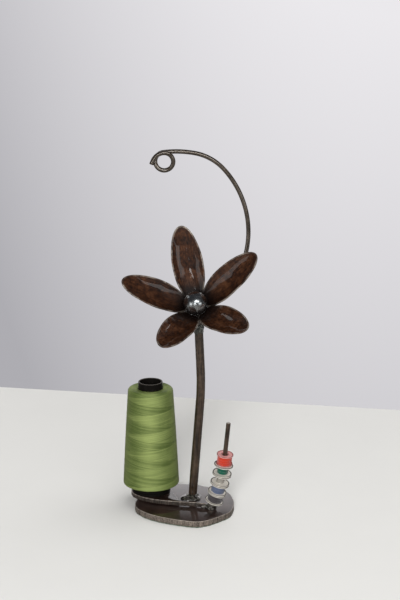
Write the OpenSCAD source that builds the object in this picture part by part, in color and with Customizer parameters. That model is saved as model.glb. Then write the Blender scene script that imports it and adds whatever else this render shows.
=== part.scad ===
// Thread rack for a sewing table: a welded steel flower on a leaning stem.
// It carries a cone of thread on a leaf-shaped seat, a spike with bobbins,
// and a bent wire whose eye guides the thread.
// Millimetres. The flower faces -Y, +X is right and +Z is up.
// The origin is on the underside of the felt pad, below the foot of the stem.

/* [Base] */
// Mean radius of the hand-cut base plate
base_r = 53; // [48:1:70]
// Thickness of the base plate
base_t = 6.35; // [4:0.05:12]
// Centre of the base plate, sideways from the stem
base_x = -8; // [-14:1:0]
// Centre of the base plate, front to back from the stem
base_y = -13; // [-20:1:-6]
// Thickness of the felt under the base
felt_t = 0.8; // [0.5:0.1:3]
// Distance that the felt stays back from the base's edge
felt_inset = 0.5; // [0:0.1:5]

/* [Cone seat] */
// Axis of the cone pin, sideways from the stem
cone_x = -45.2; // [-55:0.1:-42]
// Axis of the cone pin, front to back from the stem
cone_y = 6.5; // [0:0.1:12]
// Thickness of the leaf-shaped seat
seat_t = 4.8; // [3:0.1:8]
// Height of the seat above the base plate
seat_gap = 1.2; // [0.5:0.1:4]
// Radius of the spacer under the seat
spacer_r = 9; // [5:0.5:15]
// Diameter of the pin that the cone stands round
cone_pin_d = 4.76; // [3:0.01:8]
// Height of the cone pin above the seat
cone_pin_h = 68; // [30:1:110]

/* [Stem] */
// Diameter of the stem
stem_d = 9.5; // [7:0.1:12]
// Length of the straight lower part
stem_low_l = 108; // [90:1:130]
// Lean of the lower part to the right, in degrees
stem_low_lean = 4.4; // [0:0.1:6]
// Radius of the bend in the stem
stem_bend_r = 338; // [250:1:500]
// Angle of the bend in the stem
stem_bend_a = 7; // [3:0.1:9]
// Length of the straight upper part
stem_high_l = 63.8; // [50:0.1:90]
// Radius of the round weld at the stem's foot
foot_weld_r = 10.2; // [8:0.1:14]
// Height of the weld lobes beside the stem's foot
foot_lobe_h = 3.6; // [2:0.1:5]
// Radius of the weld round the stem's neck
neck_weld_r = 5.9; // [5.2:0.1:7]
// Length of the weld round the stem's neck
neck_weld_l = 13; // [8:0.5:18]
// Distance of the neck weld below the top of the stem
neck_weld_drop = 26.5; // [18:0.5:35]

/* [Flower] */
// Angle at which the flower faces up
flower_el = 42.5; // [35:0.5:55]
// Angle at which the flower faces left of straight ahead
flower_az = 5; // [0:1:15]
// Distance from the top of the stem to the flower's centre
flower_stand = 5; // [4:0.1:9]
// Distance that the flower sits to the left of the stem's top
flower_side = 1.3; // [0:0.1:2]
// Length of a petal from the flower's centre to its tip
petal_l = 88.7; // [70:0.1:110]
// Width of a petal
petal_w = 33; // [24:0.5:38]
// Distance of a petal's widest place from the flower's centre
petal_wide_at = 45; // [40:1:50]
// Distance of a petal's root from the flower's centre
petal_root = 8; // [7.5:0.1:9]
// Thickness of the petal sheet
petal_t = 1.5; // [0.8:0.1:2.5]
// Angle at which the petals rise from the flower's plane
petal_cup_a = 33; // [24:1:38]
// Radius of a petal's dish across its width
petal_dish_r = 24; // [21:0.5:40]
// Radius of a petal's dish along its length
petal_bow_r = 236; // [160:1:400]
// Gap between neighbouring petals where they meet
petal_joint = 0.2; // [0.1:0.05:0.5]
// Radius of the weld plate behind the petals
hub_r = 13.5; // [11:0.1:15]
// Radius of the weld plate at the back
hub_back_r = 8.2; // [7.5:0.1:10]
// Diameter of the ball in the flower's middle
ball_d = 25.4; // [20:0.1:30]
// Height of the ball's centre above the flower's centre
ball_rise = 11; // [9.5:0.1:12]

/* [Thread hook] */
// Diameter of the hook's wire
hook_d = 4.76; // [3:0.01:6]
// Distance of the hook's root below the top of the stem
hook_drop = 5.5; // [2:0.1:8]
// Angle at which the hook leaves the stem
hook_leave_a = 28.1; // [20:0.1:40]
// Radius of the hook's long lower arc
hook_low_r = 100; // [85:1:120]
// Angle of the hook's long lower arc
hook_low_a = 104.1; // [90:0.1:110]
// Radius of the hook's shoulder
hook_mid_r = 54; // [45:1:70]
// Angle of the hook's shoulder
hook_mid_a = 37.8; // [25:0.1:45]
// Radius of the hook's top arc
hook_top_r = 110; // [80:1:150]
// Angle of the hook's top arc
hook_top_a = 17; // [10:1:24]
// Mean radius of the eye
eye_r = 9.4; // [7:0.1:14]
// Gap between the eye's turns where they cross
eye_gap = 0.4; // [0.3:0.1:2]
// Radius of the tail's bend
tail_r = 13; // [10:0.5:20]
// Angle of the tail's bend
tail_a = 60; // [30:1:80]
// Length of the tail's straight end
tail_l = 4.6; // [2:0.1:10]
// Radius of the two weld beads that hold the hook on the stem
hook_weld_r = 2.4; // [2:0.1:3]

/* [Bobbin spike] */
// Foot of the spike, sideways from the stem
spike_x = 20.2; // [18:0.1:26]
// Foot of the spike, front to back from the stem
spike_y = -31.7; // [-36:0.1:-29]
// Diameter of the spike
spike_d = 4.76; // [3:0.01:5.4]
// Lean of the spike to the right at its foot
spike_lean_x = 19.6; // [12:0.1:22]
// Lean of the spike to the front
spike_lean_y = 7.9; // [0:0.1:12]
// Angle of the spike's bend
spike_bend_a = 14.5; // [8:0.1:16]
// Length of the spike's straight free end
spike_free_l = 36.3; // [20:0.1:60]
// Length of the spike's bend above the top bobbin
bend_above = 1; // [0.5:0.1:3]
// Bevel round the ends of the pin, the spike and the hook
tip_bevel = 0.6; // [0.2:0.1:1]
// Distance of the first bobbin from the spike's foot
bobbin_start = 10.4; // [7:0.1:14]
// Gap between the spike's foot weld and the first bobbin
foot_weld_gap = 0.3; // [0.3:0.1:1]
// Radius of the weld lump round the spike's foot
spike_weld_r = 5.8; // [4:0.1:6.5]

/* [Bobbins] */
// Diameter of a bobbin
bobbin_d = 20.5; // [16:0.1:22]
// Height of a bobbin
bobbin_h = 10.8; // [8:0.1:13]
// Thickness of a bobbin's flange
flange_t = 0.9; // [0.6:0.1:1.5]
// Radius of a bobbin's hub
bobbin_hub_r = 4.2; // [3.8:0.1:5]
// Radius of a bobbin's bore
bobbin_bore_r = 3.1; // [2.9:0.05:3.4]
// Gap between two bobbins at the spike
bobbin_gap = 0.8; // [0.8:0.05:2]
// Diameter of the top bobbin
top_bobbin_d = 17.8; // [14:0.1:20]
// Height of the top bobbin
top_bobbin_h = 11.4; // [10:0.1:16]
// Gap below the top bobbin
top_gap = 1.15; // [1.1:0.05:2]
// Radius of the thread on the charcoal bobbin
wound_charcoal_r = 8.2; // [5:0.1:9.5]
// Radius of the thread on the blue bobbin
wound_blue_r = 7.4; // [5:0.1:9.5]
// Radius of the thread on the green bobbin
wound_green_r = 5.9; // [5:0.1:9.5]
// Radius of the thread on the red bobbin
wound_red_r = 7.9; // [5:0.1:8.4]
// Clearance between thread and flange
wound_gap = 0.1; // [0.05:0.05:0.3]

/* [Cone of thread] */
// Radius of the core's bottom lip
lip_r = 21; // [18:0.1:24]
// Height of the core's bottom lip
lip_h = 2.6; // [1.5:0.1:4]
// Radius of the core above the lip
core_low_r = 19.2; // [17:0.1:20]
// Radius of the core at its top
core_top_r = 13.2; // [11:0.1:15]
// Height of the core
core_h = 125.5; // [90:0.5:150]
// Wall of the core
core_wall = 1.6; // [1:0.1:2.5]
// Depth of the ledge below the core's rim
ledge_depth = 5.5; // [3:0.5:15]
// Radius of the hole in the ledge
ledge_r = 8; // [6:0.1:9]
// Gap between the core and the seat
core_gap = 0.1; // [0.05:0.05:0.5]
// Height of the thread's bottom above the seat
wound_low = 9.8; // [6:0.1:15]
// Height of the thread's top above the seat
wound_high = 118.4; // [80:0.1:119]
// Radius of the thread at its bottom
wound_low_r = 30.6; // [24:0.1:32]
// Radius of the thread at its top
wound_high_r = 24.6; // [18:0.1:28]
// Rounding of the thread's bottom edge
wound_low_round = 1.6; // [0.5:0.1:4]
// Rounding of the thread's top shoulder
wound_high_round = 3.2; // [1:0.1:6]

/* [Hidden] */
$fn = 96;
eps = 0.01;
far = 400;
join_l = 0.6;
join_band = 0.02;
weld_gap = 0.05;

// Heights
base_top = felt_t + base_t;
seat_bottom = base_top + seat_gap;
seat_top = seat_bottom + seat_t;

// Radius of the base at each step of its outline, as cut by hand, in parts of base_r
base_cut = [
    1.005, 1.01, 1.03, 0.987, 0.938, 0.958, 0.97, 1.03, 1.04, 1.02, 1.0, 0.99,
    1.02, 1.035, 0.985, 0.936, 0.908, 0.911, 0.96, 1.047, 1.04, 1.025, 1.049, 1.022
];

// Outline of the seat's round part, from the cone pin's axis, anticlockwise
seat_leaf = [
    [30, -26.5], [29.4, -22.5], [27.2, -16], [25.2, -9.8], [23.2, -4], [21.9, 3], [19.4, 10.5],
    [14.6, 17], [7.5, 21.3], [-1, 22.4], [-9, 20.6], [-16, 15.9], [-20.6, 9], [-22, 1],
    [-21.1, -6], [-17.9, -12], [-12.4, -17.9], [-5.8, -22.2], [1, -25.6], [8, -28.2],
    [15.7, -30.4], [24, -32], [32.2, -33.3]
];

// Outline of the seat's tail, from the spike's foot, front edge out and back edge in
seat_tail = [
    [-22.5, 3.4], [-14, 1.6], [-7.6, -0.2], [-6, 1.2], [-7.6, 3.8], [-14, 5.4], [-22.6, 7.1], [-31, 8.2]
];

// Bends of a wire in an upright plane: a place is [sideways, up], a heading is in degrees
// anticlockwise from +X, and every bend turns left
function ahead(b) = [cos(b), sin(b)];
function left(b) = [-sin(b), cos(b)];
function run_end(p, b, l) = p + l * ahead(b);
function bend_end(p, b, r, a) = p + r * left(b) - r * left(b + a);

// Stem
stem_b0 = 90 - stem_low_lean;
stem_b1 = stem_b0 + stem_bend_a;
stem_p1 = run_end([0, base_top], stem_b0, stem_low_l);
stem_p2 = bend_end(stem_p1, stem_b0, stem_bend_r, stem_bend_a);
stem_p3 = run_end(stem_p2, stem_b1, stem_high_l);
neck_p = run_end(stem_p3, stem_b1, -neck_weld_drop);
neck_shoulder = 0.5;

// Weld lobes beside the stem's foot, each with its place and radius in parts of foot_weld_r
foot_lobes = [[-0.5, -0.33, 0.8], [0.25, -0.5, 0.65]];

// Flower
flower_turn = [90 - flower_el, 0, -flower_az];
flower_axis = [
    -cos(flower_el) * sin(flower_az), -cos(flower_el) * cos(flower_az), sin(flower_el)
];
flower_c = [stem_p3[0] - flower_side, 0, stem_p3[1]] + flower_stand * flower_axis;
patina = [0.3, 0.19, 0.15];
petal_step = 72;
petal_first_a = 104;
petal_facets = 64;
ball_gap = 0.1;
hub_gap = 0.15;
bow_centre_z = sqrt(pow(petal_bow_r, 2) - pow(petal_l / 2, 2));

// Height of a petal's back on its middle line, at a distance from the flower's axis
function petal_back_z(r) =
    petal_l / 2 * sin(petal_cup_a) + bow_centre_z * cos(petal_cup_a)
    - sqrt(
        pow(petal_bow_r + petal_t, 2)
        - pow(r - petal_l / 2 * cos(petal_cup_a) + bow_centre_z * sin(petal_cup_a), 2)
    );

// Hook
hook_y = (stem_d + hook_d) / 2 + eps;
hook_p0 = run_end(stem_p3, stem_b1, -hook_drop);
hook_b1 = hook_leave_a + hook_low_a;
hook_p1 = bend_end(hook_p0, hook_leave_a, hook_low_r, hook_low_a);
hook_b2 = hook_b1 + hook_mid_a;
hook_p2 = bend_end(hook_p1, hook_b1, hook_mid_r, hook_mid_a);
hook_b3 = hook_b2 + hook_top_a;
hook_p3 = bend_end(hook_p2, hook_b2, hook_top_r, hook_top_a);
eye_tilt = asin((hook_d + eye_gap) / (4 * eye_r));

// Spike, whose bend ends just above the top bobbin
spike_stack = bobbin_start + 4 * bobbin_h + 3 * bobbin_gap + top_gap + top_bobbin_h + bend_above;
spike_bend_r = spike_stack / spike_bend_a * 180 / PI;
spike_b0 = 90 - spike_lean_x;
spike_b1 = spike_b0 + spike_bend_a;
spike_p1 = bend_end([0, 0], spike_b0, spike_bend_r, spike_bend_a);
spike_weld_rise = bobbin_start - foot_weld_gap - spike_weld_r;
weld_waist = 0.4;
weld_tail_r = 3.2;
weld_tail_x = -8.5;
weld_tail_y = 1.6;
weld_tail_sink = 1;

// Place and heading on the spike's bend at a distance from its foot
function spike_turn(s) = s / spike_bend_r * 180 / PI;
function spike_place(s) = bend_end([0, 0], spike_b0, spike_bend_r, spike_turn(s));

// Smooth closed outline through points, with steps pieces between two of them
function blend(a, b, c, d, t) =
    0.5 * (2 * b + (c - a) * t + (2 * a - 5 * b + 4 * c - d) * t * t + (3 * b - a - 3 * c + d) * t * t * t);
function smooth_loop(p, steps) = [
    for (i = [0 : len(p) - 1], k = [0 : steps - 1])
        blend(
            p[(i + len(p) - 1) % len(p)], p[i], p[(i + 1) % len(p)], p[(i + 2) % len(p)], k / steps
        )
];

function base_points(inset) = [
    for (i = [0 : len(base_cut) - 1])
        (base_cut[i] * base_r - inset) * ahead(i * 360 / len(base_cut)) + [base_x, base_y]
];

seat_points = concat(
    [for (p = seat_leaf) p + [cone_x, cone_y]],
    [for (p = seat_tail) p + [spike_x, spike_y]]
);

// Oval outline of a petal along +X, from its root to its tip
function petal_points() = [
    for (i = [0 : petal_facets - 1])
        let (
            t = i * 360 / petal_facets,
            reach = cos(t) > 0 ? petal_l - petal_wide_at : petal_wide_at - petal_root
        )
            [petal_wide_at + reach * cos(t), petal_w / 2 * sin(t)]
];

// Straight length of wire from a place along a heading
module run(p, b, l, d) {
    translate([p[0], 0, p[1]]) rotate([0, 90 - b, 0]) cylinder(d = d, h = l);
}

// Bend of wire from a place along a heading
module bend(p, b, r, a, d) {
    c = p + r * left(b);
    translate([c[0], 0, c[1]]) rotate([90, 0, 0]) rotate([0, 0, b - 90])
        rotate_extrude(angle = a) translate([r, 0]) circle(d = d);
}

// Upright rod that ends in a bevel
module bevelled_rod(l, d) {
    rotate_extrude() polygon([
        [0, 0], [d / 2, 0], [d / 2, l - tip_bevel], [d / 2 - tip_bevel, l], [0, l]
    ]);
}

// Straight length of wire that ends in a bevel
module bevelled_run(p, b, l, d) {
    translate([p[0], 0, p[1]]) rotate([0, 90 - b, 0]) bevelled_rod(l, d);
}

// Hair-thin band that closes the join between two lengths of one wire
module join(p, b, d) {
    run(run_end(p, b, -join_l / 2), b, join_l, d + join_band);
}

module above_base() {
    translate([-far / 2, -far / 2, base_top]) cube(far);
}

module at_flower() {
    translate(flower_c) rotate(flower_turn) children();
}

module felt_pad() {
    color("darkolivegreen") linear_extrude(felt_t) polygon(smooth_loop(base_points(felt_inset), 4));
}

module base_plate() {
    color([0.28, 0.24, 0.23])
        translate([0, 0, felt_t]) linear_extrude(base_t) polygon(smooth_loop(base_points(0), 4));
}

module seat_spacer() {
    color([0.2, 0.18, 0.17])
        translate([cone_x, cone_y, base_top]) cylinder(r = spacer_r, h = seat_gap);
}

module cone_seat() {
    color([0.26, 0.2, 0.18])
        translate([0, 0, seat_bottom]) linear_extrude(seat_t) polygon(smooth_loop(seat_points, 4));
}

module cone_pin() {
    color([0.3, 0.29, 0.28])
        translate([cone_x, cone_y, seat_top]) bevelled_rod(cone_pin_h, cone_pin_d);
}

// The stem's lower length, long enough to be cut at its foot and wider by a gap
module stem_low(gap = 0) {
    run(run_end([0, base_top], stem_b0, -stem_d), stem_b0, stem_low_l + stem_d, stem_d + 2 * gap);
}

// The stem's upper length, long enough to be cut behind the flower and wider by a gap
module stem_high(gap = 0) {
    run(stem_p2, stem_b1, stem_high_l + stem_d, stem_d + 2 * gap);
}

module stem() {
    color([0.3, 0.28, 0.25]) difference() {
        intersection() {
            union() {
                stem_low();
                join(stem_p1, stem_b0, stem_d);
                bend(stem_p1, stem_b0, stem_bend_r, stem_bend_a, stem_d);
                join(stem_p2, stem_b1, stem_d);
                stem_high();
            }
            above_base();
        }
        at_flower() translate([0, 0, -flower_stand]) cylinder(r = 3 * stem_d, h = 5 * stem_d);
    }
}

// Round cap of weld metal with a given foot radius and height
module weld_cap(r, h) {
    sphere_r = (r * r + h * h) / (2 * h);
    translate([0, 0, h - sphere_r]) sphere(r = sphere_r);
}

module stem_foot_weld() {
    fillet = foot_weld_r - stem_d / 2;
    color([0.22, 0.19, 0.17]) difference() {
        intersection() {
            translate([0, 0, base_top]) {
                rotate_extrude() difference() {
                    square([foot_weld_r, fillet]);
                    translate([foot_weld_r, fillet]) circle(r = fillet - eps);
                }
                for (lobe = foot_lobes)
                    translate([lobe[0], lobe[1], 0] * foot_weld_r)
                        weld_cap(lobe[2] * foot_weld_r, foot_lobe_h);
            }
            above_base();
        }
        stem_low(weld_gap);
    }
}

module neck_weld() {
    color([0.33, 0.33, 0.29]) translate([neck_p[0], 0, neck_p[1]]) rotate([0, 90 - stem_b1, 0])
        rotate_extrude() polygon([
            [stem_d / 2 + eps, 0], [neck_weld_r - neck_shoulder, 0.2 * neck_weld_l],
            [neck_weld_r, 0.65 * neck_weld_l], [neck_weld_r - neck_shoulder, 0.85 * neck_weld_l],
            [stem_d / 2 + eps, neck_weld_l]
        ]);
}

// Dished sheet of one petal along +X, before it is tilted up
module petal_blade() {
    sweep = asin(petal_l / 2 / petal_bow_r) + 2;
    shell = petal_dish_r + petal_t;
    intersection() {
        translate([petal_l / 2, 0, bow_centre_z]) rotate([90, 0, 0]) rotate([0, 0, 270 - sweep])
            rotate_extrude(angle = 2 * sweep) translate([petal_bow_r - petal_dish_r, 0])
                intersection() {
                    difference() {
                        circle(r = shell);
                        circle(r = petal_dish_r);
                    }
                    translate([0, -petal_w / 2 - 1]) square([shell, petal_w + 2]);
                }
        translate([0, 0, -petal_w / 2]) linear_extrude(petal_w) polygon(petal_points());
    }
}

// Petal number i, anticlockwise from the top one
module petal(i) {
    reach = 1.2 * petal_l;
    half = petal_step / 2;
    at_flower() difference() {
        rotate([0, 0, petal_first_a + i * petal_step]) intersection() {
            rotate([0, -petal_cup_a, 0]) petal_blade();
            translate([petal_joint / 2 / sin(half), 0, -petal_l / 4]) linear_extrude(petal_l)
                polygon([[0, 0], reach * ahead(-half), [reach, 0], reach * ahead(half)]);
        }
        translate([0, 0, ball_rise]) sphere(r = ball_d / 2 + ball_gap);
    }
}

module petal_top() {
    color(patina) petal(0);
}

module petal_left() {
    color(patina) petal(1);
}

module petal_lower_left() {
    color(patina) petal(2);
}

module petal_lower_right() {
    color(patina) petal(3);
}

module petal_right() {
    color(patina) petal(4);
}

module flower_hub() {
    rim_z = petal_back_z(hub_r) - hub_gap;
    color([0.24, 0.2, 0.18]) at_flower() difference() {
        rotate_extrude() polygon([
            [0, -flower_stand], [hub_back_r, -flower_stand], [hub_r, rim_z - petal_t],
            [hub_r, rim_z], [0, petal_back_z(0) - hub_gap]
        ]);
        translate([0, 0, ball_rise]) sphere(r = ball_d / 2 + ball_gap);
    }
}

module flower_ball() {
    color([0.1, 0.1, 0.11]) at_flower() translate([0, 0, ball_rise]) sphere(d = ball_d);
}

// The hook's long arc, from its root behind the stem, wider by a gap
module hook_low(gap = 0) {
    translate([0, hook_y, 0]) bend(hook_p0, hook_leave_a, hook_low_r, hook_low_a, hook_d + 2 * gap);
}

// The rest of the hook's wire up to the eye
module hook_high() {
    translate([0, hook_y, 0]) {
        join(hook_p1, hook_b1, hook_d);
        bend(hook_p1, hook_b1, hook_mid_r, hook_mid_a, hook_d);
        join(hook_p2, hook_b2, hook_d);
        bend(hook_p2, hook_b2, hook_top_r, hook_top_a, hook_d);
    }
}

// One full turn towards the front, then the loose tail beside it
module hook_eye() {
    tail_end = bend_end([0, 0], 0, tail_r, tail_a);
    join([0, 0], 0, hook_d);
    rotate([eye_tilt, 0, 0]) bend([0, 0], 0, eye_r, 180, hook_d);
    translate([0, -2 * eye_r * sin(eye_tilt), 2 * eye_r * cos(eye_tilt)]) {
        join([0, 0], 180, hook_d);
        rotate([-eye_tilt, 0, 0]) bend([0, 0], 180, eye_r, 180, hook_d);
    }
    translate([0, -hook_d - eye_gap, 0]) rotate([eye_tilt, 0, 0]) {
        join([0, 0], 0, hook_d);
        bend([0, 0], 0, tail_r, tail_a, hook_d);
        join(tail_end, tail_a, hook_d);
        bevelled_run(tail_end, tail_a, tail_l, hook_d);
    }
}

module thread_hook() {
    color([0.3, 0.28, 0.25]) {
        hook_low();
        hook_high();
        translate([hook_p3[0], hook_y, hook_p3[1]]) rotate([0, -hook_b3, 0]) hook_eye();
    }
}

module hook_weld() {
    along = run_end(hook_p0, hook_leave_a, hook_weld_r);
    across = (hook_d / 2 + 0.43 * hook_weld_r) * left(hook_leave_a);
    color([0.22, 0.19, 0.17]) difference() {
        for (side = [-1, 1])
            translate([along[0] + side * across[0], (stem_d + hook_weld_r) / 2, along[1] + side * across[1]])
                sphere(r = hook_weld_r);
        stem_high(weld_gap);
        hook_low(weld_gap);
    }
}

// The spike's upright plane, which leans to the front
module at_spike() {
    translate([spike_x, spike_y, base_top]) rotate([spike_lean_y, 0, 0]) children();
}

// The spike's wire from under its foot, wider by a gap along its bend
module spike_bar(gap = 0) {
    under = spike_turn(spike_d);
    at_spike() {
        bend(spike_place(-spike_d), spike_b0 - under, spike_bend_r, spike_bend_a + under, spike_d + 2 * gap);
        join(spike_p1, spike_b1, spike_d);
        bevelled_run(spike_p1, spike_b1, spike_free_l, spike_d);
    }
}

module bobbin_spike() {
    color([0.3, 0.28, 0.25]) intersection() {
        spike_bar();
        above_base();
    }
}

// Weld lump round the spike's foot that runs on to the end of the seat's tail
module spike_foot_weld() {
    lump = [weld_tail_x, weld_tail_y, weld_tail_r - weld_tail_sink];
    color([0.2, 0.17, 0.16]) difference() {
        intersection() {
            translate([spike_x, spike_y, base_top]) {
                sphere(r = spike_weld_r);
                rotate([spike_lean_y, 0, 0]) rotate([0, spike_lean_x, 0]) {
                    cylinder(r = spike_weld_r - weld_waist, h = spike_weld_rise);
                    translate([0, 0, spike_weld_rise]) sphere(r = spike_weld_r);
                }
                translate(lump) sphere(r = weld_tail_r);
                translate(lump) rotate([0, 90, atan2(-weld_tail_y, -weld_tail_x)])
                    cylinder(r = weld_tail_r, h = norm([weld_tail_x, weld_tail_y]));
            }
            above_base();
        }
        spike_bar(weld_gap);
        cone_seat();
    }
}

core_bevel = 0.5;

// Outside radius of the core at a height above its foot
function core_r(z) = core_low_r + (core_top_r - core_low_r) * (z - lip_h) / (core_h - lip_h);

module at_cone() {
    translate([cone_x, cone_y, seat_top + core_gap]) children();
}

module cone_core() {
    under_ledge = core_h - ledge_depth - core_wall;
    color([0.09, 0.09, 0.09]) at_cone() rotate_extrude() polygon([
        [lip_r - core_wall, 0], [lip_r, 0], [lip_r, lip_h - core_bevel], [lip_r - core_bevel, lip_h],
        [core_low_r, lip_h], [core_r(core_h - core_bevel), core_h - core_bevel],
        [core_top_r - core_bevel, core_h],
        [core_top_r - core_wall, core_h], [core_r(core_h - ledge_depth) - core_wall, core_h - ledge_depth],
        [ledge_r, core_h - ledge_depth], [ledge_r, under_ledge],
        [core_r(under_ledge) - core_wall, under_ledge],
        [core_low_r - core_wall, lip_h], [lip_r - core_wall, lip_h - core_wall]
    ]);
}

// Points of a quarter round in a turned section, from one angle to the next
function round_points(c, r, from, to, n) = [
    for (i = [0 : n]) c + r * ahead(from + (to - from) * i / n)
];

module cone_thread() {
    low = wound_low - core_gap;
    high = wound_high - core_gap;
    color([0.43, 0.53, 0.26]) at_cone() rotate_extrude() polygon(concat(
        [[core_r(high) + wound_gap, high], [core_r(low) + wound_gap, low]],
        round_points([wound_low_r - wound_low_round, low + wound_low_round], wound_low_round, -90, 0, 5),
        round_points([wound_high_r - wound_high_round, high - wound_high_round], wound_high_round, 0, 90, 6)
    ));
}

// A bobbin on its own axis, from its lower flange up
module bobbin(d, h) {
    color([0.86, 0.84, 0.82]) difference() {
        union() {
            cylinder(d = d, h = flange_t);
            cylinder(r = bobbin_hub_r, h = h);
            translate([0, 0, h - flange_t]) cylinder(d = d, h = flange_t);
        }
        translate([0, 0, -1]) cylinder(r = bobbin_bore_r, h = h + 2);
    }
}

wound_bevel = 0.35;
wound_crown = 0.15;

// The thread on a bobbin, a little barrelled
module wound(r, h) {
    low = flange_t + wound_gap;
    high = h - low;
    rotate_extrude() polygon([
        [bobbin_hub_r + wound_gap / 2, low], [r - wound_crown - wound_bevel, low],
        [r - wound_crown, low + wound_bevel], [r, h / 2], [r - wound_crown, high - wound_bevel],
        [r - wound_crown - wound_bevel, high], [bobbin_hub_r + wound_gap / 2, high]
    ]);
}

// Distance along the spike of the foot of bobbin i
function bobbin_s(i) = bobbin_start + i * (bobbin_h + bobbin_gap);

module at_bobbin(i) {
    mid = bobbin_s(i) + bobbin_h / 2;
    p = spike_place(mid);
    at_spike() translate([p[0], 0, p[1]]) rotate([0, 90 - spike_b0 - spike_turn(mid), 0])
        translate([0, 0, -bobbin_h / 2]) children();
}

// The top bobbin lines up with the spike's straight free end
module at_top_bobbin() {
    at_spike() translate([spike_p1[0], 0, spike_p1[1]]) rotate([0, 90 - spike_b1, 0])
        translate([0, 0, -bend_above - top_bobbin_h]) children();
}

module bobbin_charcoal() {
    at_bobbin(0) bobbin(bobbin_d, bobbin_h);
}

module bobbin_blue() {
    at_bobbin(1) bobbin(bobbin_d, bobbin_h);
}

module bobbin_empty() {
    at_bobbin(2) bobbin(bobbin_d, bobbin_h);
}

module bobbin_green() {
    at_bobbin(3) bobbin(bobbin_d, bobbin_h);
}

module bobbin_red() {
    at_top_bobbin() bobbin(top_bobbin_d, top_bobbin_h);
}

module thread_charcoal() {
    color([0.2, 0.19, 0.21]) at_bobbin(0) wound(wound_charcoal_r, bobbin_h);
}

module thread_blue() {
    color([0.35, 0.4, 0.56]) at_bobbin(1) wound(wound_blue_r, bobbin_h);
}

module thread_green() {
    color([0.06, 0.42, 0.33]) at_bobbin(3) wound(wound_green_r, bobbin_h);
}

module thread_red() {
    color([0.85, 0.33, 0.22]) at_top_bobbin() wound(wound_red_r, top_bobbin_h);
}

felt_pad();
base_plate();
seat_spacer();
cone_seat();
cone_pin();
stem();
stem_foot_weld();
neck_weld();
petal_top();
petal_left();
petal_lower_left();
petal_lower_right();
petal_right();
flower_hub();
flower_ball();
thread_hook();
hook_weld();
bobbin_spike();
spike_foot_weld();
cone_core();
cone_thread();
bobbin_charcoal();
bobbin_blue();
bobbin_empty();
bobbin_green();
bobbin_red();
thread_charcoal();
thread_blue();
thread_green();
thread_red();
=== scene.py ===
"""Looks of a thread rack for a sewing table: a welded steel flower on a leaning stem.

A cone of thread stands on the leaf-shaped seat, bobbins hang on the spike, and a
bent wire ends in the eye that guides the thread. Sizes are in millimetres and
angles in degrees, as in the frame's source, and every mesh is scaled to metres
when it is made. +Z is up, +X is right and the flower faces -Y. In names, _r is a
radius, _d a diameter, _l a length, _w a width, _h a height, _t a thickness and
_a an angle.
"""

from __future__ import annotations

import logging
import math
from dataclasses import dataclass, field
from enum import Enum
from functools import partialmethod
from typing import Any, Iterable, Sequence, Union

import bmesh
import bpy
import numpy as np
from mathutils import Matrix, Vector, noise

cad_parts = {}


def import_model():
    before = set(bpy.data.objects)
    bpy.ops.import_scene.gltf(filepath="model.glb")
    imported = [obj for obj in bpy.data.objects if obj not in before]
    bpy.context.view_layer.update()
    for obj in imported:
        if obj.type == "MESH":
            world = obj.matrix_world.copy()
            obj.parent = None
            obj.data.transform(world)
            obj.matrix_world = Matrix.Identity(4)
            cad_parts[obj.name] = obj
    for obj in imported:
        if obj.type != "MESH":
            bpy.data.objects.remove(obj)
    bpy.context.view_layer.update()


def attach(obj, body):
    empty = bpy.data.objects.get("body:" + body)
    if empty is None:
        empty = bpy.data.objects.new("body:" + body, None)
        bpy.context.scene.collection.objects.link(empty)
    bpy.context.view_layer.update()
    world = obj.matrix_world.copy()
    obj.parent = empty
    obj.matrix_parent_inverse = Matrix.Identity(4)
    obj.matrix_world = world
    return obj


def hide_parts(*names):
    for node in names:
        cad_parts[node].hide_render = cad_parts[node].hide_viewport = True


LOG = logging.getLogger("thread_rack")
MM = 0.001
TURN = 2 * math.pi
BASE_TOP = 7.15
SEAT_TOP = 13.15
CONE_AXIS = (-45.2, 6.5)
SPIKE_FOOT = (20.2, -31.7)

Point = tuple[float, float]
Colour = tuple[float, float, float]
Piece = bpy.types.Object


# Plain geometry


def ahead(degrees: float) -> np.ndarray:
    """Unit vector [sideways, up] of a heading, anticlockwise from +X."""
    return np.array([math.cos(math.radians(degrees)), math.sin(math.radians(degrees))])


def turned_about(axis: str, degrees: float) -> np.ndarray:
    """Rotation matrix about the axis "X", "Y" or "Z"."""
    return np.array(Matrix.Rotation(math.radians(degrees), 3, axis))


def smooth_loop(points: Sequence[Sequence[float]], steps: int) -> np.ndarray:
    """Smooth closed outline through points.

    Args:
        points: the outline's corners, in order.
        steps: pieces between two corners.

    Returns:
        One row for each point of the finer outline.
    """
    b = np.array(points, float)
    a, c, d = np.roll(b, 1, 0), np.roll(b, -1, 0), np.roll(b, -2, 0)
    rows = []
    for k in range(steps):
        t = k / steps
        rows.append(
            0.5 * (2 * b + (c - a) * t + (2 * a - 5 * b + 4 * c - d) * t**2 + (3 * b - a - 3 * c + d) * t**3)
        )
    return np.stack(rows, 1).reshape(-1, b.shape[1])


def waves(at: np.ndarray, *rows: tuple[float, float, float]) -> np.ndarray:
    """Sum of sine waves.

    Args:
        at: places along a line, in millimetres.
        rows: wavelength, height and phase of each wave.

    Returns:
        The height at each place.
    """
    return sum(height * np.sin(TURN * at / length + phase) for length, height, phase in rows)


def outward_2d(loop: np.ndarray) -> np.ndarray:
    """Unit normals that point out of an outline.

    Args:
        loop: the outline, anticlockwise.

    Returns:
        The normal at each of its points.
    """
    along = np.roll(loop, -1, 0) - np.roll(loop, 1, 0)
    out = np.stack([along[:, 1], -along[:, 0]], 1)
    return out / np.linalg.norm(out, axis=1, keepdims=True)


def headings(count: int, first: float = 0.0) -> list[np.ndarray]:
    """Unit vectors [sideways, up] evenly round a circle, from a first heading."""
    return [ahead(first + k * 360 / count) for k in range(count)]


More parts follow.
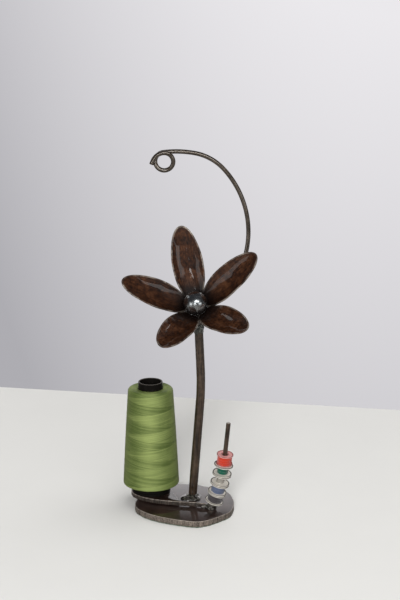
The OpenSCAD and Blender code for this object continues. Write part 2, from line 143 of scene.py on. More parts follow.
def arc(middle: Point, radius: float, turns: Iterable[float]) -> list[Point]:
    """Points round a middle, one at each heading."""
    return [tuple(np.array(middle) + radius * ahead(turn)) for turn in turns]


def round_turn(count: int) -> np.ndarray:
    """The angles of points evenly round +Z."""
    return np.arange(count) / count * TURN


def ringed(radius: np.ndarray, height: np.ndarray, angle: np.ndarray) -> np.ndarray:
    """Rings of points round +Z, from a row of radii and heights for each ring."""
    return np.stack(np.broadcast_arrays(radius * np.cos(angle), radius * np.sin(angle), height), 2)


def softened(profile: Sequence[Point], radius: float, steps: int = 3) -> list[Point]:
    """A turned profile with its inner corners rounded.

    Args:
        profile: points as (radius, height).
        radius: how far each rounding reaches from its corner.
        steps: pieces in each rounding.

    Returns:
        The points of the rounded profile.
    """
    rows = [np.array(p, float) for p in profile]
    made = [rows[0]]
    for before, here, after in zip(rows, rows[1:], rows[2:]):
        back, on = before - here, after - here
        reach = min(radius, 0.45 * np.linalg.norm(back), 0.45 * np.linalg.norm(on))
        start = here + back / np.linalg.norm(back) * reach
        end = here + on / np.linalg.norm(on) * reach
        for k in range(steps + 1):
            t = k / steps
            made.append((1 - t) ** 2 * start + 2 * t * (1 - t) * here + t**2 * end)
    made.append(rows[-1])
    return [tuple(p) for p in made]


def linked(name: str, data: Any) -> Piece:
    """Puts something new into the scene.

    Args:
        name: the object's name.
        data: its mesh, light or camera.

    Returns:
        The object.
    """
    made = bpy.data.objects.new(name, data)
    bpy.context.scene.collection.objects.link(made)
    return made


@dataclass
class WirePath:
    """A wire's middle line in an upright plane, made of straight lengths and left bends.

    Attributes:
        place: where the wire has got to, as [sideways, up].
        heading: its direction there.
        step: distance between two points of the line.
        points: the line so far.
    """

    place: np.ndarray
    heading: float
    step: float = 1.2
    points: list[np.ndarray] = field(default_factory=list)

    def __post_init__(self) -> None:
        """Starts the line at its first place."""
        self.place = np.array(self.place, float)
        self.points.append(self.place)

    def run(self, length: float) -> WirePath:
        """Goes straight on.

        Args:
            length: how far it goes.

        Returns:
            The path itself.
        """
        count = max(1, round(length / self.step))
        for k in range(1, count + 1):
            self.points.append(self.place + length * k / count * ahead(self.heading))
        self.place = self.points[-1]
        return self

    def bend(self, radius: float, angle: float) -> WirePath:
        """Bends left.

        Args:
            radius: the bend's radius.
            angle: how far it turns.

        Returns:
            The path itself.
        """
        count = max(2, round(radius * math.radians(angle) / self.step))
        middle = self.place + radius * ahead(self.heading + 90)
        for k in range(1, count + 1):
            self.points.append(middle - radius * ahead(self.heading + angle * k / count + 90))
        self.heading += angle
        self.place = self.points[-1]
        return self

    def line(self) -> np.ndarray:
        """The line's points in the upright plane y = 0."""
        flat = np.array(self.points)
        return np.stack([flat[:, 0], np.zeros(len(flat)), flat[:, 1]], 1)


@dataclass
class Draft:
    """The points and faces of a piece that is being made.

    Attributes:
        points: one row for each point, in millimetres.
        faces: the numbers of each face's points.
        lay: for each corner of each face, its place on the unrolled surface in millimetres.
        wear: for each point, from 0 to 1, how far it is rubbed bright, lies on top or looks dark; finishes
            also paint highlights, sheen and shade by it.
    """

    points: np.ndarray
    faces: list[tuple[int, ...]]
    lay: list[Point]
    wear: np.ndarray

    def placed(self, turn: np.ndarray | None = None, shift: Sequence[float] = (0, 0, 0)) -> Draft:
        """This draft turned by a 3 by 3 matrix, then shifted."""
        turned = self.points if turn is None else self.points @ np.array(turn).T
        return Draft(turned + np.array(shift, float), self.faces, self.lay, self.wear)

    def joined(self, *others: Draft) -> Draft:
        """This draft and others as one.

        Args:
            others: the other drafts.

        Returns:
            All of them, with this draft's points first.
        """
        every = (self, *others)
        faces, lay, start = [], [], 0
        for draft in every:
            faces += [tuple(k + start for k in face) for face in draft.faces]
            lay += draft.lay
            start += len(draft.points)
        points = np.concatenate([draft.points for draft in every])
        return Draft(points, faces, lay, np.concatenate([draft.wear for draft in every]))

    def normals(self) -> np.ndarray:
        """Unit normals at the points.

        Returns:
            One row for each point.
        """
        summed = np.zeros_like(self.points)
        for face in self.faces:
            corners = self.points[list(face)]
            normal = np.cross(corners[1] - corners[0], corners[-1] - corners[0])
            summed[list(face)] += normal
        return summed / np.maximum(np.linalg.norm(summed, axis=1, keepdims=True), 1e-12)

    def roughened(self, size: float, depth: float, seed: float) -> Draft:
        """This draft with shallow lumps.

        Args:
            size: distance from one lump to the next.
            depth: how far the lumps stand out or sink in.
            seed: a shift that gives other lumps.

        Returns:
            The draft with its points moved along their normals.
        """
        shift = Vector((seed, -seed, 2 * seed))
        lumps = np.array([noise.noise(Vector(point / size) + shift) for point in self.points])
        moved = self.points + self.normals() * (lumps * depth)[:, None]
        return Draft(moved, self.faces, self.lay, self.wear)

    def mesh(self, name: str) -> bpy.types.Mesh:
        """A mesh in metres.

        Args:
            name: the mesh's name.

        Returns:
            The mesh, with the unrolled places as a UV map and the wear as an attribute.
        """
        made = bpy.data.meshes.new(name)
        made.from_pydata((self.points * MM).tolist(), [], self.faces)
        made.uv_layers.new(name="lay").uv.foreach_set("vector", np.array(self.lay, np.float32).ravel())
        made.attributes.new("wear", "FLOAT", "POINT").data.foreach_set("value", self.wear.astype(np.float32))
        work = bmesh.new()
        work.from_mesh(made)
        bmesh.ops.remove_doubles(work, verts=work.verts, dist=2e-6)
        bmesh.ops.dissolve_degenerate(work, edges=work.edges, dist=1e-7)
        bmesh.ops.recalc_face_normals(work, faces=work.faces)
        work.to_mesh(made)
        work.free()
        return made

    def fused(self, voxel: float, rounds: int) -> Draft:
        """The closed bodies of this draft melted into one skin.

        Args:
            voxel: the size of the skin's faces.
            rounds: how often the skin is smoothed.

        Returns:
            A draft with no unrolled places.
        """
        thing = linked("melting", self.mesh("melting"))
        skin = thing.modifiers.new("skin", "REMESH")
        skin.mode, skin.voxel_size = "VOXEL", voxel * MM
        ease = thing.modifiers.new("ease", "SMOOTH")
        ease.iterations = rounds
        bpy.context.view_layer.update()
        found = thing.evaluated_get(bpy.context.evaluated_depsgraph_get()).to_mesh()
        points = np.array([v.co for v in found.vertices]) / MM
        faces = [tuple(p.vertices) for p in found.polygons]
        bpy.data.objects.remove(thing)
        return Draft(points, faces, [(0.0, 0.0)] * sum(map(len, faces)), np.zeros(len(points)))

    def cut(self, place: Sequence[float], outward: Sequence[float]) -> Draft:
        """This draft without what lies beyond a plane, and closed there.

        Args:
            place: a point on the plane.
            outward: the direction of what goes.

        Returns:
            The draft that is left.
        """
        work = bmesh.new()
        work.from_mesh(self.mesh("cutting"))
        lay, wear = work.loops.layers.uv["lay"], work.verts.layers.float["wear"]
        every = work.verts[:] + work.edges[:] + work.faces[:]
        found = bmesh.ops.bisect_plane(
            work, geom=every, plane_co=Vector(place) * MM, plane_no=Vector(outward), clear_outer=True
        )
        rim = [e for e in found["geom_cut"] if isinstance(e, bmesh.types.BMEdge)]
        bmesh.ops.holes_fill(work, edges=rim, sides=0)
        work.verts.index_update()
        faces = [tuple(v.index for v in f.verts) for f in work.faces]
        places = [tuple(loop[lay].uv) for f in work.faces for loop in f.loops]
        points = np.array([v.co for v in work.verts]) / MM
        left = Draft(points, faces, places, np.array([v[wear] for v in work.verts]))
        work.free()
        return left


def woven(rings: np.ndarray, ends: bool = True, wear: np.ndarray | None = None) -> Draft:
    """A surface through rings of points.

    Args:
        rings: an array of rings, points and coordinates.
        ends: whether the first and last rings are filled.
        wear: the wear at each point of each ring.

    Returns:
        The surface as a draft.
    """
    m, n = rings.shape[:2]
    loops = np.concatenate([rings, rings[:, :1]], 1)
    around = np.linalg.norm(np.diff(loops, axis=1), axis=2)
    u = np.concatenate([np.zeros((m, 1)), np.cumsum(around, 1)], 1)
    v = np.concatenate([[0.0], np.cumsum(np.linalg.norm(np.diff(rings, axis=0), axis=2).mean(1))])
    faces, lay = [], []
    for i in range(m - 1):
        for j in range(n):
            k = (j + 1) % n
            faces.append((i * n + j, i * n + k, (i + 1) * n + k, (i + 1) * n + j))
            lay += [(u[i, j], v[i]), (u[i, j + 1], v[i])]
            lay += [(u[i + 1, j + 1], v[i + 1]), (u[i + 1, j], v[i + 1])]
    if ends:
        for ring, order in ((0, range(n - 1, -1, -1)), (m - 1, range(n))):
            faces.append(tuple(ring * n + k for k in order))
            lay += [tuple(rings[ring, k, :2]) for k in order]
    worn = np.zeros(m * n) if wear is None else np.asarray(wear, float).reshape(-1)
    return Draft(rings.reshape(-1, 3), faces, lay, worn)


def turned(profile: Sequence[Point], count: int = 96, wear: Sequence[float] | None = None) -> Draft:
    """A solid or ring turned about +Z.

    Args:
        profile: points as (radius, height); a closed ring repeats its first point at the end.
        count: points round the axis.
        wear: the wear at each point of the profile.

    Returns:
        The turned surface.
    """
    flat = np.array(profile, float)
    worn = None if wear is None else np.repeat(np.array(wear, float)[:, None], count, 1)
    return woven(ringed(flat[:, :1], flat[:, 1:], round_turn(count)), ends=False, wear=worn)


def tube(line: np.ndarray, radius: float, count: int = 28, bevel: float = 0.0) -> Draft:
    """A round wire along a line.

    Args:
        line: the wire's middle line.
        radius: its radius.
        count: points round the wire.
        bevel: the bevel at its last end, which is worn bright.

    Returns:
        The wire with both ends closed.
    """
    size = np.full(len(line), float(radius))
    if bevel:
        away = (line[-1] - line[-2]) / np.linalg.norm(line[-1] - line[-2])
        kept = np.linalg.norm(line - line[-1], axis=1) > 1.05 * bevel
        end = [line[-1] - share * bevel * away for share in (1, 0.3, 0)]
        line = np.concatenate([line[kept], end])
        size = np.concatenate([size[kept], [radius, radius - 0.5 * bevel, radius - bevel]])
    ways = np.gradient(line, axis=0)
    ways /= np.linalg.norm(ways, axis=1, keepdims=True)
    side = np.cross(ways[0], (0.0, 1.0, 0.0))
    rings = []
    angle = round_turn(count)[:, None]
    for place, way, r in zip(line, ways, size):
        side = side - way * (side @ way)
        side /= np.linalg.norm(side)
        up = np.cross(way, side)
        rings.append(place + r * (np.cos(angle) * side + np.sin(angle) * up))
    worn = np.zeros((len(rings), count))
    worn[-1] = 1.0 if bevel else 0.0
    return woven(np.array(rings), wear=worn)


def slab(loop: np.ndarray, low: float, high: float, edge: float, ripple: np.ndarray) -> Draft:
    """A plate with rounded edges.

    Args:
        loop: its outline, anticlockwise.
        low: the height of its underside.
        high: the height of its top.
        edge: how far its edges are rounded.
        ripple: how far each point of the outline stands out where the tool went.

    Returns:
        The plate, whose upper edge carries wear, which a finish paints as rubbed metal and a painted
        highlight.
    """
    out = outward_2d(loop)
    turns = [math.radians(turn) for turn in (0, 30, 60, 90)]
    rounded = [(edge * (1 - math.sin(t)), edge * (1 - math.cos(t))) for t in turns]
    rows = [(inset, low + rise) for inset, rise in rounded]
    rows += [(0.0, low + (high - low) * k / 6) for k in range(2, 5)]
    rows += [(inset, high - drop) for inset, drop in reversed(rounded)]
    rings, worn = [], []
    for inset, z in rows:
        flat = loop + out * (ripple - inset)[:, None]
        rings.append(np.concatenate([flat, np.full((len(flat), 1), z)], 1))
        worn.append(np.full(len(flat), 1.0 if 0 < inset < edge and z > (low + high) / 2 else 0.0))
    return woven(np.array(rings), wear=np.array(worn))


def dome(radius: float, height: float) -> Draft:
    """A round cap of metal on the plane z = 0, sunk a little into it."""
    cap = [(radius * math.cos(t), height * math.sin(t)) for t in np.linspace(0, math.pi / 2, 9)]
    return turned([(0.0, -0.4), (radius, -0.4), *cap], 32)


def ball(radius: float, count: int = 16) -> Draft:
    """A round lump of metal about the origin."""
    rows = [(radius * math.sin(t), -radius * math.cos(t)) for t in np.linspace(0, math.pi, count // 2 + 1)]
    return turned(rows, count)


def bead(radius: float, *place: float) -> Draft:
    """A small drop of weld at a place."""
    return ball(radius).placed(shift=place)


def melted(bodies: Sequence[Draft], voxel: float, rounds: int) -> Draft:
    """Closed bodies melted into one skin of a voxel's fineness, smoothed in rounds."""
    return bodies[0].joined(*bodies[1:]).fused(voxel, rounds)


# Shader maths

Value = Union[float, int, Sequence[float], "Shade"]


class Shade:
    """One socket of a material's nodes, on which Python's own operators work."""

    def __init__(self, desk: Desk, socket: bpy.types.NodeSocket | None) -> None:
        """Wraps an output socket of a desk's nodes."""
        self.desk = desk
        self.socket = socket

    def _maths(self, operation: str, *values: Value) -> Shade:
        """A Math node on these values."""
        return self.desk.node("ShaderNodeMath", {"operation": operation}, dict(enumerate(values)))

    def _first(self, operation: str, other: Value) -> Shade:
        """A Math node on this and then other."""
        return self._maths(operation, self, other)

    def _last(self, operation: str, other: Value) -> Shade:
        """A Math node on other and then this."""
        return self._maths(operation, other, self)

    __add__ = partialmethod(_first, "ADD")
    __radd__ = partialmethod(_last, "ADD")
    __sub__ = partialmethod(_first, "SUBTRACT")
    __rsub__ = partialmethod(_last, "SUBTRACT")
    __mul__ = partialmethod(_first, "MULTIPLY")
    __rmul__ = partialmethod(_last, "MULTIPLY")
    __truediv__ = partialmethod(_first, "DIVIDE")

    def wave(self) -> Shade:
        """The sine of this, as a share from 0 to 1."""
        return self._maths("SINE", self) * 0.5 + 0.5

    def between(self, low: float, high: float) -> Shade:
        """A smooth step from 0 at low to 1 at high."""
        values = {"Value": self, "From Min": low, "From Max": high}
        return self.desk.node("ShaderNodeMapRange", {"interpolation_type": "SMOOTHSTEP"}, values)


class Desk:
    """A material's nodes, and the ways to add to them."""

    def __init__(self, tree: bpy.types.NodeTree) -> None:
        """Starts with an empty tree."""
        self.tree = tree
        tree.nodes.clear()

    @staticmethod
    def _found(sockets: Any, key: int | str) -> bpy.types.NodeSocket:
        """A socket by its number, identifier or name."""
        named = None if isinstance(key, int) else next((s for s in sockets if s.identifier == key), None)
        return named or sockets[key]

    def node(
        self,
        kind: str,
        settings: dict[str, Any] | None = None,
        values: dict[int | str, Value] | None = None,
        output: int | str = 0,
    ) -> Shade:
        """Adds a node.

        Args:
            kind: the node's type.
            settings: its own settings, set first; stops are a colour ramp's.
            values: numbers, colours or shades for its sockets.
            output: the socket that is wanted.

        Returns:
            That socket.
        """
        made = self.tree.nodes.new(kind)
        for key, value in (settings or {}).items():
            if key == "stops":
                ramp = made.color_ramp
                while len(ramp.elements) < len(value):
                    ramp.elements.new(0.5)
                for stop, (place, colour) in zip(ramp.elements, value):
                    stop.position, stop.color = place, (*colour, 1.0)
            else:
                setattr(made, key, value)
        for key, value in (values or {}).items():
            socket = self._found(made.inputs, key)
            if isinstance(value, Shade):
                self.tree.links.new(value.socket, socket)
            elif isinstance(value, (int, float)):
                socket.default_value = value
            else:
                socket.default_value = (*value, 1.0)[: len(socket.default_value)]
        return Shade(self, self._found(made.outputs, output) if made.outputs else None)

    def place(self) -> Shade:
        """The place on the object, in millimetres."""
        return self.scaled(self.node("ShaderNodeTexCoord", output="Object"), (1 / MM, 1 / MM, 1 / MM))

    def lay(self) -> Shade:
        """The place on the unrolled surface, in millimetres."""
        return self.node("ShaderNodeUVMap", {"uv_map": "lay"})

    def wear(self) -> Shade:
        """The mesh's own wear, from 0 to 1, which also carries painted highlights, sheen and shade."""
        return self.node("ShaderNodeAttribute", {"attribute_name": "wear"}, output="Fac")

    def scaled(self, vector: Shade, by: Sequence[float]) -> Shade:
        """A vector with each coordinate multiplied."""
        return self.node("ShaderNodeVectorMath", {"operation": "MULTIPLY"}, {0: vector, 1: by})

    def part(self, vector: Shade, axis: str) -> Shade:
        """One coordinate of a vector: "X", "Y" or "Z"."""
        return self.node("ShaderNodeSeparateXYZ", values={0: vector}, output=axis)

    def combined(self, x: Value, y: Value, z: Value = 0.0) -> Shade:
        """A vector from its coordinates."""
        return self.node("ShaderNodeCombineXYZ", None, {0: x, 1: y, 2: z})

    def facing_up(self) -> Shade:
        """How far the surface faces up, from -1 to 1."""
        return self.part(self.node("ShaderNodeNewGeometry", output="Normal"), "Z")

    def seen(self) -> Shade:
        """1 for what the camera sees itself, 0 for what only lights or mirrors."""
        return self.node("ShaderNodeLightPath", output="Is Camera Ray")

    def soaked(self) -> Shade:
        """1 for light that falls on matt surfaces, 0 for the rest."""
        return self.node("ShaderNodeLightPath", output="Is Diffuse Ray")

    def cloud(
        self, at: Shade, size: Sequence[float] | float, detail: float = 3.0, rough: float = 0.55
    ) -> Shade:
        """Cloudy noise from 0 to 1.

        Args:
            at: coordinates in millimetres.
            size: the size of a patch, one for all or one for each axis.
            detail: how many finer layers there are.
            rough: how strong the finer layers are.

        Returns:
            The noise.
        """
        sizes = (size, size, size) if isinstance(size, (int, float)) else size
        values = {"Vector": self.scaled(at, tuple(1 / s for s in sizes)), "Scale": 1.0}
        return self.node("ShaderNodeTexNoise", None, {**values, "Detail": detail, "Roughness": rough})

    def cells(self, at: Shade, size: float) -> Shade:
        """How far a place is from the middle of its cell, in cells of a size in millimetres."""
        values = {"Vector": self.scaled(at, (1 / size,) * 3), "Scale": 1.0}
        return self.node("ShaderNodeTexVoronoi", None, values, "Distance")

    def ramp(self, share: Shade, *stops: tuple[float, Sequence[float]]) -> Shade:
        """A colour that follows a share through stops of place and colour."""
        return self.node("ShaderNodeValToRGB", {"stops": stops}, {0: share})

    def mix(self, share: Value, first: Value, second: Value) -> Shade:
        """Two colours mixed by a share of the second."""
        values = {"Factor_Float": share, "A_Color": first, "B_Color": second}
        return self.node("ShaderNodeMix", {"data_type": "RGBA"}, values, "Result_Color")

    def bump(self, height: Shade, depth: float) -> Shade:
        """A normal bent by a height from 0 to 1 that stands for a depth in millimetres."""
        values = {"Height": height, "Distance": depth * MM, "Strength": 1.0}
        return self.node("ShaderNodeBump", None, values, "Normal")

    def surface(self, **values: Value) -> None:
        """Ends the material in a Principled shader.

        Args:
            values: what goes into its sockets, which are named with _ for a space.
        """
        named = {key.replace("_", " "): value for key, value in values.items()}
        shader = self.node("ShaderNodeBsdfPrincipled", None, named, "BSDF")
        self.node("ShaderNodeOutputMaterial", None, {"Surface": shader})


# Finishes


def dimmed(colour: Colour, share: float) -> Colour:
    """A colour darkened to a share of itself."""
    return tuple(share * channel for channel in colour)


@dataclass(frozen=True)
class Finish:
    """A finish that pieces wear.

    Attributes:
        name: the material's name.
        slot: the record's material slot; not used.
    """

    name: str
    slot: str

    def material(self) -> bpy.types.Material:
        """The material, made at its first use.

        Returns:
            The material.
        """
        found = bpy.data.materials.get(self.name)
        if found is None:
            found = bpy.data.materials.new(self.name)
            found.use_nodes = True
            self.dress(Desk(found.node_tree))
        return found

    def dress(self, desk: Desk) -> None:
        """Adds the finish's nodes."""
        raise NotImplementedError


@dataclass(frozen=True)
class PetalPatina(Finish):
    """Mottled rust-brown patina under glossy clear lacquer, with a bright ground rim that is also a painted
    highlight.

    Attributes:
        dark: the colour of the patina's darkest clouds.
        rust: its middle colour.
        tan: its palest colour, and that of the scuffs.
        rim: the bare metal of the rim.
        root: where along the petal the painted shade at its root, under and round the ball, starts to fade,
            and where it has gone.
    """

    dark: Colour = (0.008, 0.0022, 0.0008)
    rust: Colour = (0.039, 0.0125, 0.0042)
    tan: Colour = (0.092, 0.036, 0.015)
    # rim: the bare metal of the rim, which also stands for a painted highlight along it.
    rim: Colour = (0.42, 0.36, 0.3)
    root: Point = (15.0, 38.0)

    def dress(self, desk: Desk) -> None:
        """Adds clouds, brushed streaks, painted shade at the root, pale scuffs and the rim, which is bare
        metal with a painted highlight.

        Args:
            desk: the material's nodes.
        """
        at, lay = desk.place(), desk.lay()
        clouds = desk.cloud(at, 15.0, 4.0, 0.6)
        spots = desk.cloud(at, 4.0, 4.0, 0.6)
        streaks = desk.cloud(lay, (12.0, 0.6, 1.0), 4.0, 0.65)
        tone = clouds.between(0.3, 0.7) * 0.34 + spots.between(0.3, 0.7) * 0.26
        tone = tone + streaks.between(0.32, 0.68) * 0.4
        colour = desk.ramp(tone, (0.24, self.dark), (0.52, self.rust), (0.8, self.tan))
        # Painted shade: the petal darkens towards its root, where it lies under and round the ball.
        clear_of_root_shade = desk.part(lay, "X").between(*self.root)
        colour = desk.mix(clear_of_root_shade, dimmed(self.dark, 0.4), colour)
        scuffs = desk.cloud(lay, (7.0, 1.6, 1.0), 4.0, 0.7).between(0.6, 0.72) * spots.between(0.48, 0.6)
        colour = desk.mix(scuffs * 0.4, colour, self.tan)
        # The rim is bare ground metal and a painted highlight, in patches, and fades where the root's painted
        # shade lies.
        patches = desk.cloud(at, 8.0).between(0.42, 0.62) * 0.85 + 0.08
        rubbed = desk.wear() * patches * (0.15 + 0.85 * clear_of_root_shade)
        colour = desk.mix(rubbed, colour, self.rim)
        hammered = desk.cloud(at, 9.0, 2.0, 0.4) * 0.6 + streaks * 0.25 + spots * 0.15
        desk.surface(
            Base_Color=colour,
            Metallic=0.35 + 0.25 * clouds + 0.4 * rubbed,
            Roughness=0.62 - 0.26 * spots,
            Coat_Weight=0.2 + clear_of_root_shade * 0.35 - 0.4 * scuffs,
            Coat_Roughness=0.06,
            Coat_IOR=1.5,
            Normal=desk.bump(hammered, 0.2),
        )


@dataclass(frozen=True)
class BarSteel(Finish):
    """Satin grey-brown bar under lacquer, with mill scale and drawn streaks.

    Attributes:
        dark: the colour of the scale.
        light: the colour of the drawn streaks.
        bare: the colour where it is rubbed.
        gloss: the least roughness.
        metal: how metallic it is where there is no scale.
    """

    dark: Colour = (0.007, 0.0042, 0.0024)
    light: Colour = (0.09, 0.058, 0.036)
    bare: Colour = (0.5, 0.46, 0.4)
    gloss: float = 0.34
    metal: float = 0.6

    def dress(self, desk: Desk) -> None:
        """Adds scale patches, streaks along the bar and tiny pits.

        Args:
            desk: the material's nodes.
        """
        at, lay = desk.place(), desk.lay()
        scale = desk.cloud(at, 8.0, 5.0, 0.6)
        streaks = desk.cloud(lay, (0.7, 26.0, 1.0), 3.0, 0.6)
        pits = desk.cloud(at, 1.1, 2.0, 0.6)
        tone = scale * 0.35 + streaks * 0.55 + pits * 0.1
        rubbed = desk.wear() * 0.7
        colour = desk.ramp(tone, (0.4, self.dark), (0.62, self.light))
        colour = desk.mix(rubbed, colour, self.bare)
        desk.surface(
            Base_Color=colour,
            Metallic=self.metal - 0.2 * scale,
            Roughness=self.gloss + 0.22 * scale,
            Coat_Weight=0.5 + 0.4 * scale,
            Coat_Roughness=0.08,
            Coat_IOR=1.7,
            Normal=desk.bump(scale * 0.5 + pits.between(0.3, 0.6) * 0.5, 0.03),
        )


@dataclass(frozen=True)
class PlateSteel(Finish):
    """Hand-cut plate: glossy dark patina on its faces and brown-grey cut edges.

    Attributes:
        dark: the darker colour of the faces.
        warm: their lighter colour.
        edge: the colour of the cut edges.
        bare: the colour of the upper rim, which is rubbed and also carries a painted highlight along the top
            edge.
        ripple: the width of the cutting marks on the edges.
        edge_coat: how much lacquer the edges have, as a share.
    """

    dark: Colour = (0.015, 0.0085, 0.0065)
    warm: Colour = (0.065, 0.037, 0.03)
    edge: Colour = (0.32, 0.265, 0.22)
    bare: Colour = (0.5, 0.44, 0.38)
    ripple: float = 0.9
    edge_coat: float = 0.4

    def dress(self, desk: Desk) -> None:
        """Adds clouds on the faces, ripples and grit on the edges and an upper rim that is rubbed and painted
        as a highlight.

        Args:
            desk: the material's nodes.
        """
        at, lay = desk.place(), desk.lay()
        clouds = desk.cloud(at, (13.0, 13.0, 40.0), 5.0, 0.6)
        fine = desk.cloud(at, 2.2, 3.0, 0.6)
        marks = desk.cloud(lay, (self.ripple, 9.0, 1.0), 3.0, 0.65)
        grit = desk.cloud(at, 0.9, 3.0, 0.7)
        side = 1 - desk.facing_up().between(0.35, 0.9)
        face = desk.ramp(clouds * 0.7 + fine * 0.3, (0.36, self.dark), (0.64, self.warm))
        cut = desk.mix((marks * 0.5 + grit * 0.5).between(0.4, 0.6), dimmed(self.edge, 0.15), self.edge)
        # The upper rim is partly rubbed metal and partly a painted highlight along the top edge.
        rubbed = desk.wear() * marks.between(0.3, 0.6)
        colour = desk.mix(rubbed, desk.mix(side, face, cut), self.bare)
        desk.surface(
            Base_Color=colour,
            Metallic=0.45 + 0.2 * clouds,
            Roughness=0.4 + 0.2 * fine,
            Coat_Weight=1.0 - (1.0 - self.edge_coat) * side,
            Coat_Roughness=0.03,
            Coat_IOR=1.5,
            Normal=desk.bump((marks * 0.7 + grit * 0.3) * side + clouds * 0.15, 0.4),
        )


@dataclass(frozen=True)
class WeldSteel(Finish):
    """Dark weld metal with sooty hollows and tempered, shiny crests."""

    dark: Colour = (0.01, 0.008, 0.007)
    crest: Colour = (0.42, 0.39, 0.34)

    def dress(self, desk: Desk) -> None:
        """Adds ripples, soot and small spatter.

        Args:
            desk: the material's nodes.
        """
        at = desk.place()
        melt = desk.cloud(at, 3.2, 4.0, 0.6)
        spatter = desk.cells(at, 1.25)
        tone = melt * 0.75 + spatter * 0.25
        middle = dimmed(self.crest, 0.35)
        colour = desk.ramp(tone, (0.38, self.dark), (0.55, middle), (0.7, self.crest))
        desk.surface(
            Base_Color=colour,
            Metallic=0.8,
            Roughness=0.1 + 0.25 * melt,
            Coat_Weight=1.0,
            Coat_Roughness=0.08,
            Normal=desk.bump(melt * 0.8 + spatter * 0.2, 0.22),
        )


@dataclass(frozen=True)
class BlackChrome(Finish):
    """Polished black chrome with faint scratches and lacquer smears."""

    tint: Colour = (0.6, 0.64, 0.65)

    def dress(self, desk: Desk) -> None:
        """Adds smears and hair scratches.

        Args:
            desk: the material's nodes.
        """
        at = desk.place()
        smears = desk.cloud(at, 6.0, 4.0, 0.6)
        hairs = desk.cloud(at, (0.25, 4.0, 5.0), 2.0, 0.5)
        colour = desk.ramp(smears, (0.35, dimmed(self.tint, 0.55)), (0.7, self.tint))
        desk.surface(
            Base_Color=colour,
            Metallic=1.0,
            Roughness=0.24 + 0.14 * smears.between(0.5, 0.7),
            Coat_Weight=1.0,
            Coat_Roughness=0.09,
            Normal=desk.bump(hairs * 0.4 + smears * 0.6, 0.04),
        )


@dataclass(frozen=True)
class ConeYarn(Finish):
    """Cross-wound polyester thread on the cone.

    Attributes:
        shade: the colour where the turns lean away.
        light: the colour where they catch the light.
        slope: rise of a turn for each millimetre round the cone.
        pitch: distance from one fine turn to the next.
    """

    shade: Colour = (0.052, 0.076, 0.016)
    light: Colour = (0.23, 0.28, 0.09)
    slope: float = 0.118
    pitch: float = 0.42

    def dress(self, desk: Desk) -> None:
        """Adds both leads of the winding, their fine turns, four bands of painted sheen round the cone,
        painted sheen on the turns that lie on top, painted shade between the fine turns and the fuzz.

        Args:
            desk: the material's nodes.
        """
        lay, on_top = desk.lay(), desk.wear()
        across, up = desk.part(lay, "X"), desk.part(lay, "Y")
        leads = (up - self.slope * across, up + self.slope * across)
        fine = [(lead * (TURN / self.pitch)).wave() for lead in leads]
        drawn = [desk.combined(across * 0.012, lead * 1.1, seed) for lead, seed in zip(leads, (0.0, 7.0))]
        bundles = [desk.cloud(lead, 1.0, 3.0, 0.6) for lead in drawn]
        turns, streaks = (upper * on_top + lower * (1 - on_top) for upper, lower in (fine, bundles))
        at = desk.place()
        soft = desk.cloud(at, 16.0, 2.0, 0.5)
        # Painted sheen: four soft lighter bands round the cone's axis, peaked at the front, the back and both
        # sides.
        x, y = desk.part(at, "X") - CONE_AXIS[0], desk.part(at, "Y") - CONE_AXIS[1]
        lean = 2 * x * y / (x * x + y * y + 1.0)
        painted_sheen_bands = 1 - lean * lean
        # Painted sheen and shade: the turns that lie on top are lighter, the bands lighten four sides of the
        # cone, and the grooves between the fine turns are darker.
        tone = on_top * 0.2 + streaks * 1.15 + soft * 0.3 + turns * 0.1 + painted_sheen_bands * 0.28 - 0.69
        fuzz = desk.cloud(at, 0.5, 2.0, 0.6)
        desk.surface(
            Base_Color=desk.ramp(tone, (0.05, self.shade), (0.75, self.light)),
            Roughness=0.5 + 0.15 * fuzz,
            Specular_IOR_Level=0.45,
            Normal=desk.bump(turns * 0.8 + fuzz * 0.2, 0.08),
        )


@dataclass(frozen=True)
class BobbinYarn(Finish):
    """Thread wound level on a bobbin.

    Attributes:
        colour: its colour in the light.
        depth: how dark the painted shade between the turns is, as a share of the colour.
        pitch: distance from one turn to the next.
    """

    colour: Colour = (0.5, 0.5, 0.5)
    depth: float = 0.35
    pitch: float = 0.38

    def dress(self, desk: Desk) -> None:
        """Adds single turns with painted shade between them, uneven bundles and a painted sheen on the twist.

        Args:
            desk: the material's nodes.
        """
        lay = desk.lay()
        turns = (desk.part(lay, "Y") * (TURN / self.pitch) + desk.part(lay, "X") * 0.06).wave()
        bundles = desk.cloud(lay, (22.0, 0.8, 1.0), 3.0, 0.6)
        twist = desk.cloud(lay, (0.5, 0.3, 1.0), 2.0, 0.5)
        # Painted shade darkens the grooves between the turns, and painted sheen lightens the twist.
        tone = turns * 0.35 + bundles * 0.6 + twist * 0.15
        dark = dimmed(self.colour, self.depth)
        desk.surface(
            Base_Color=desk.ramp(tone, (0.25, dark), (0.75, self.colour)),
            Roughness=0.5 + 0.2 * twist,
            Specular_IOR_Level=0.4,
            Sheen_Weight=0.2,
            Sheen_Roughness=0.4,
            Normal=desk.bump(turns * 0.8 + twist * 0.2, 0.14),
        )


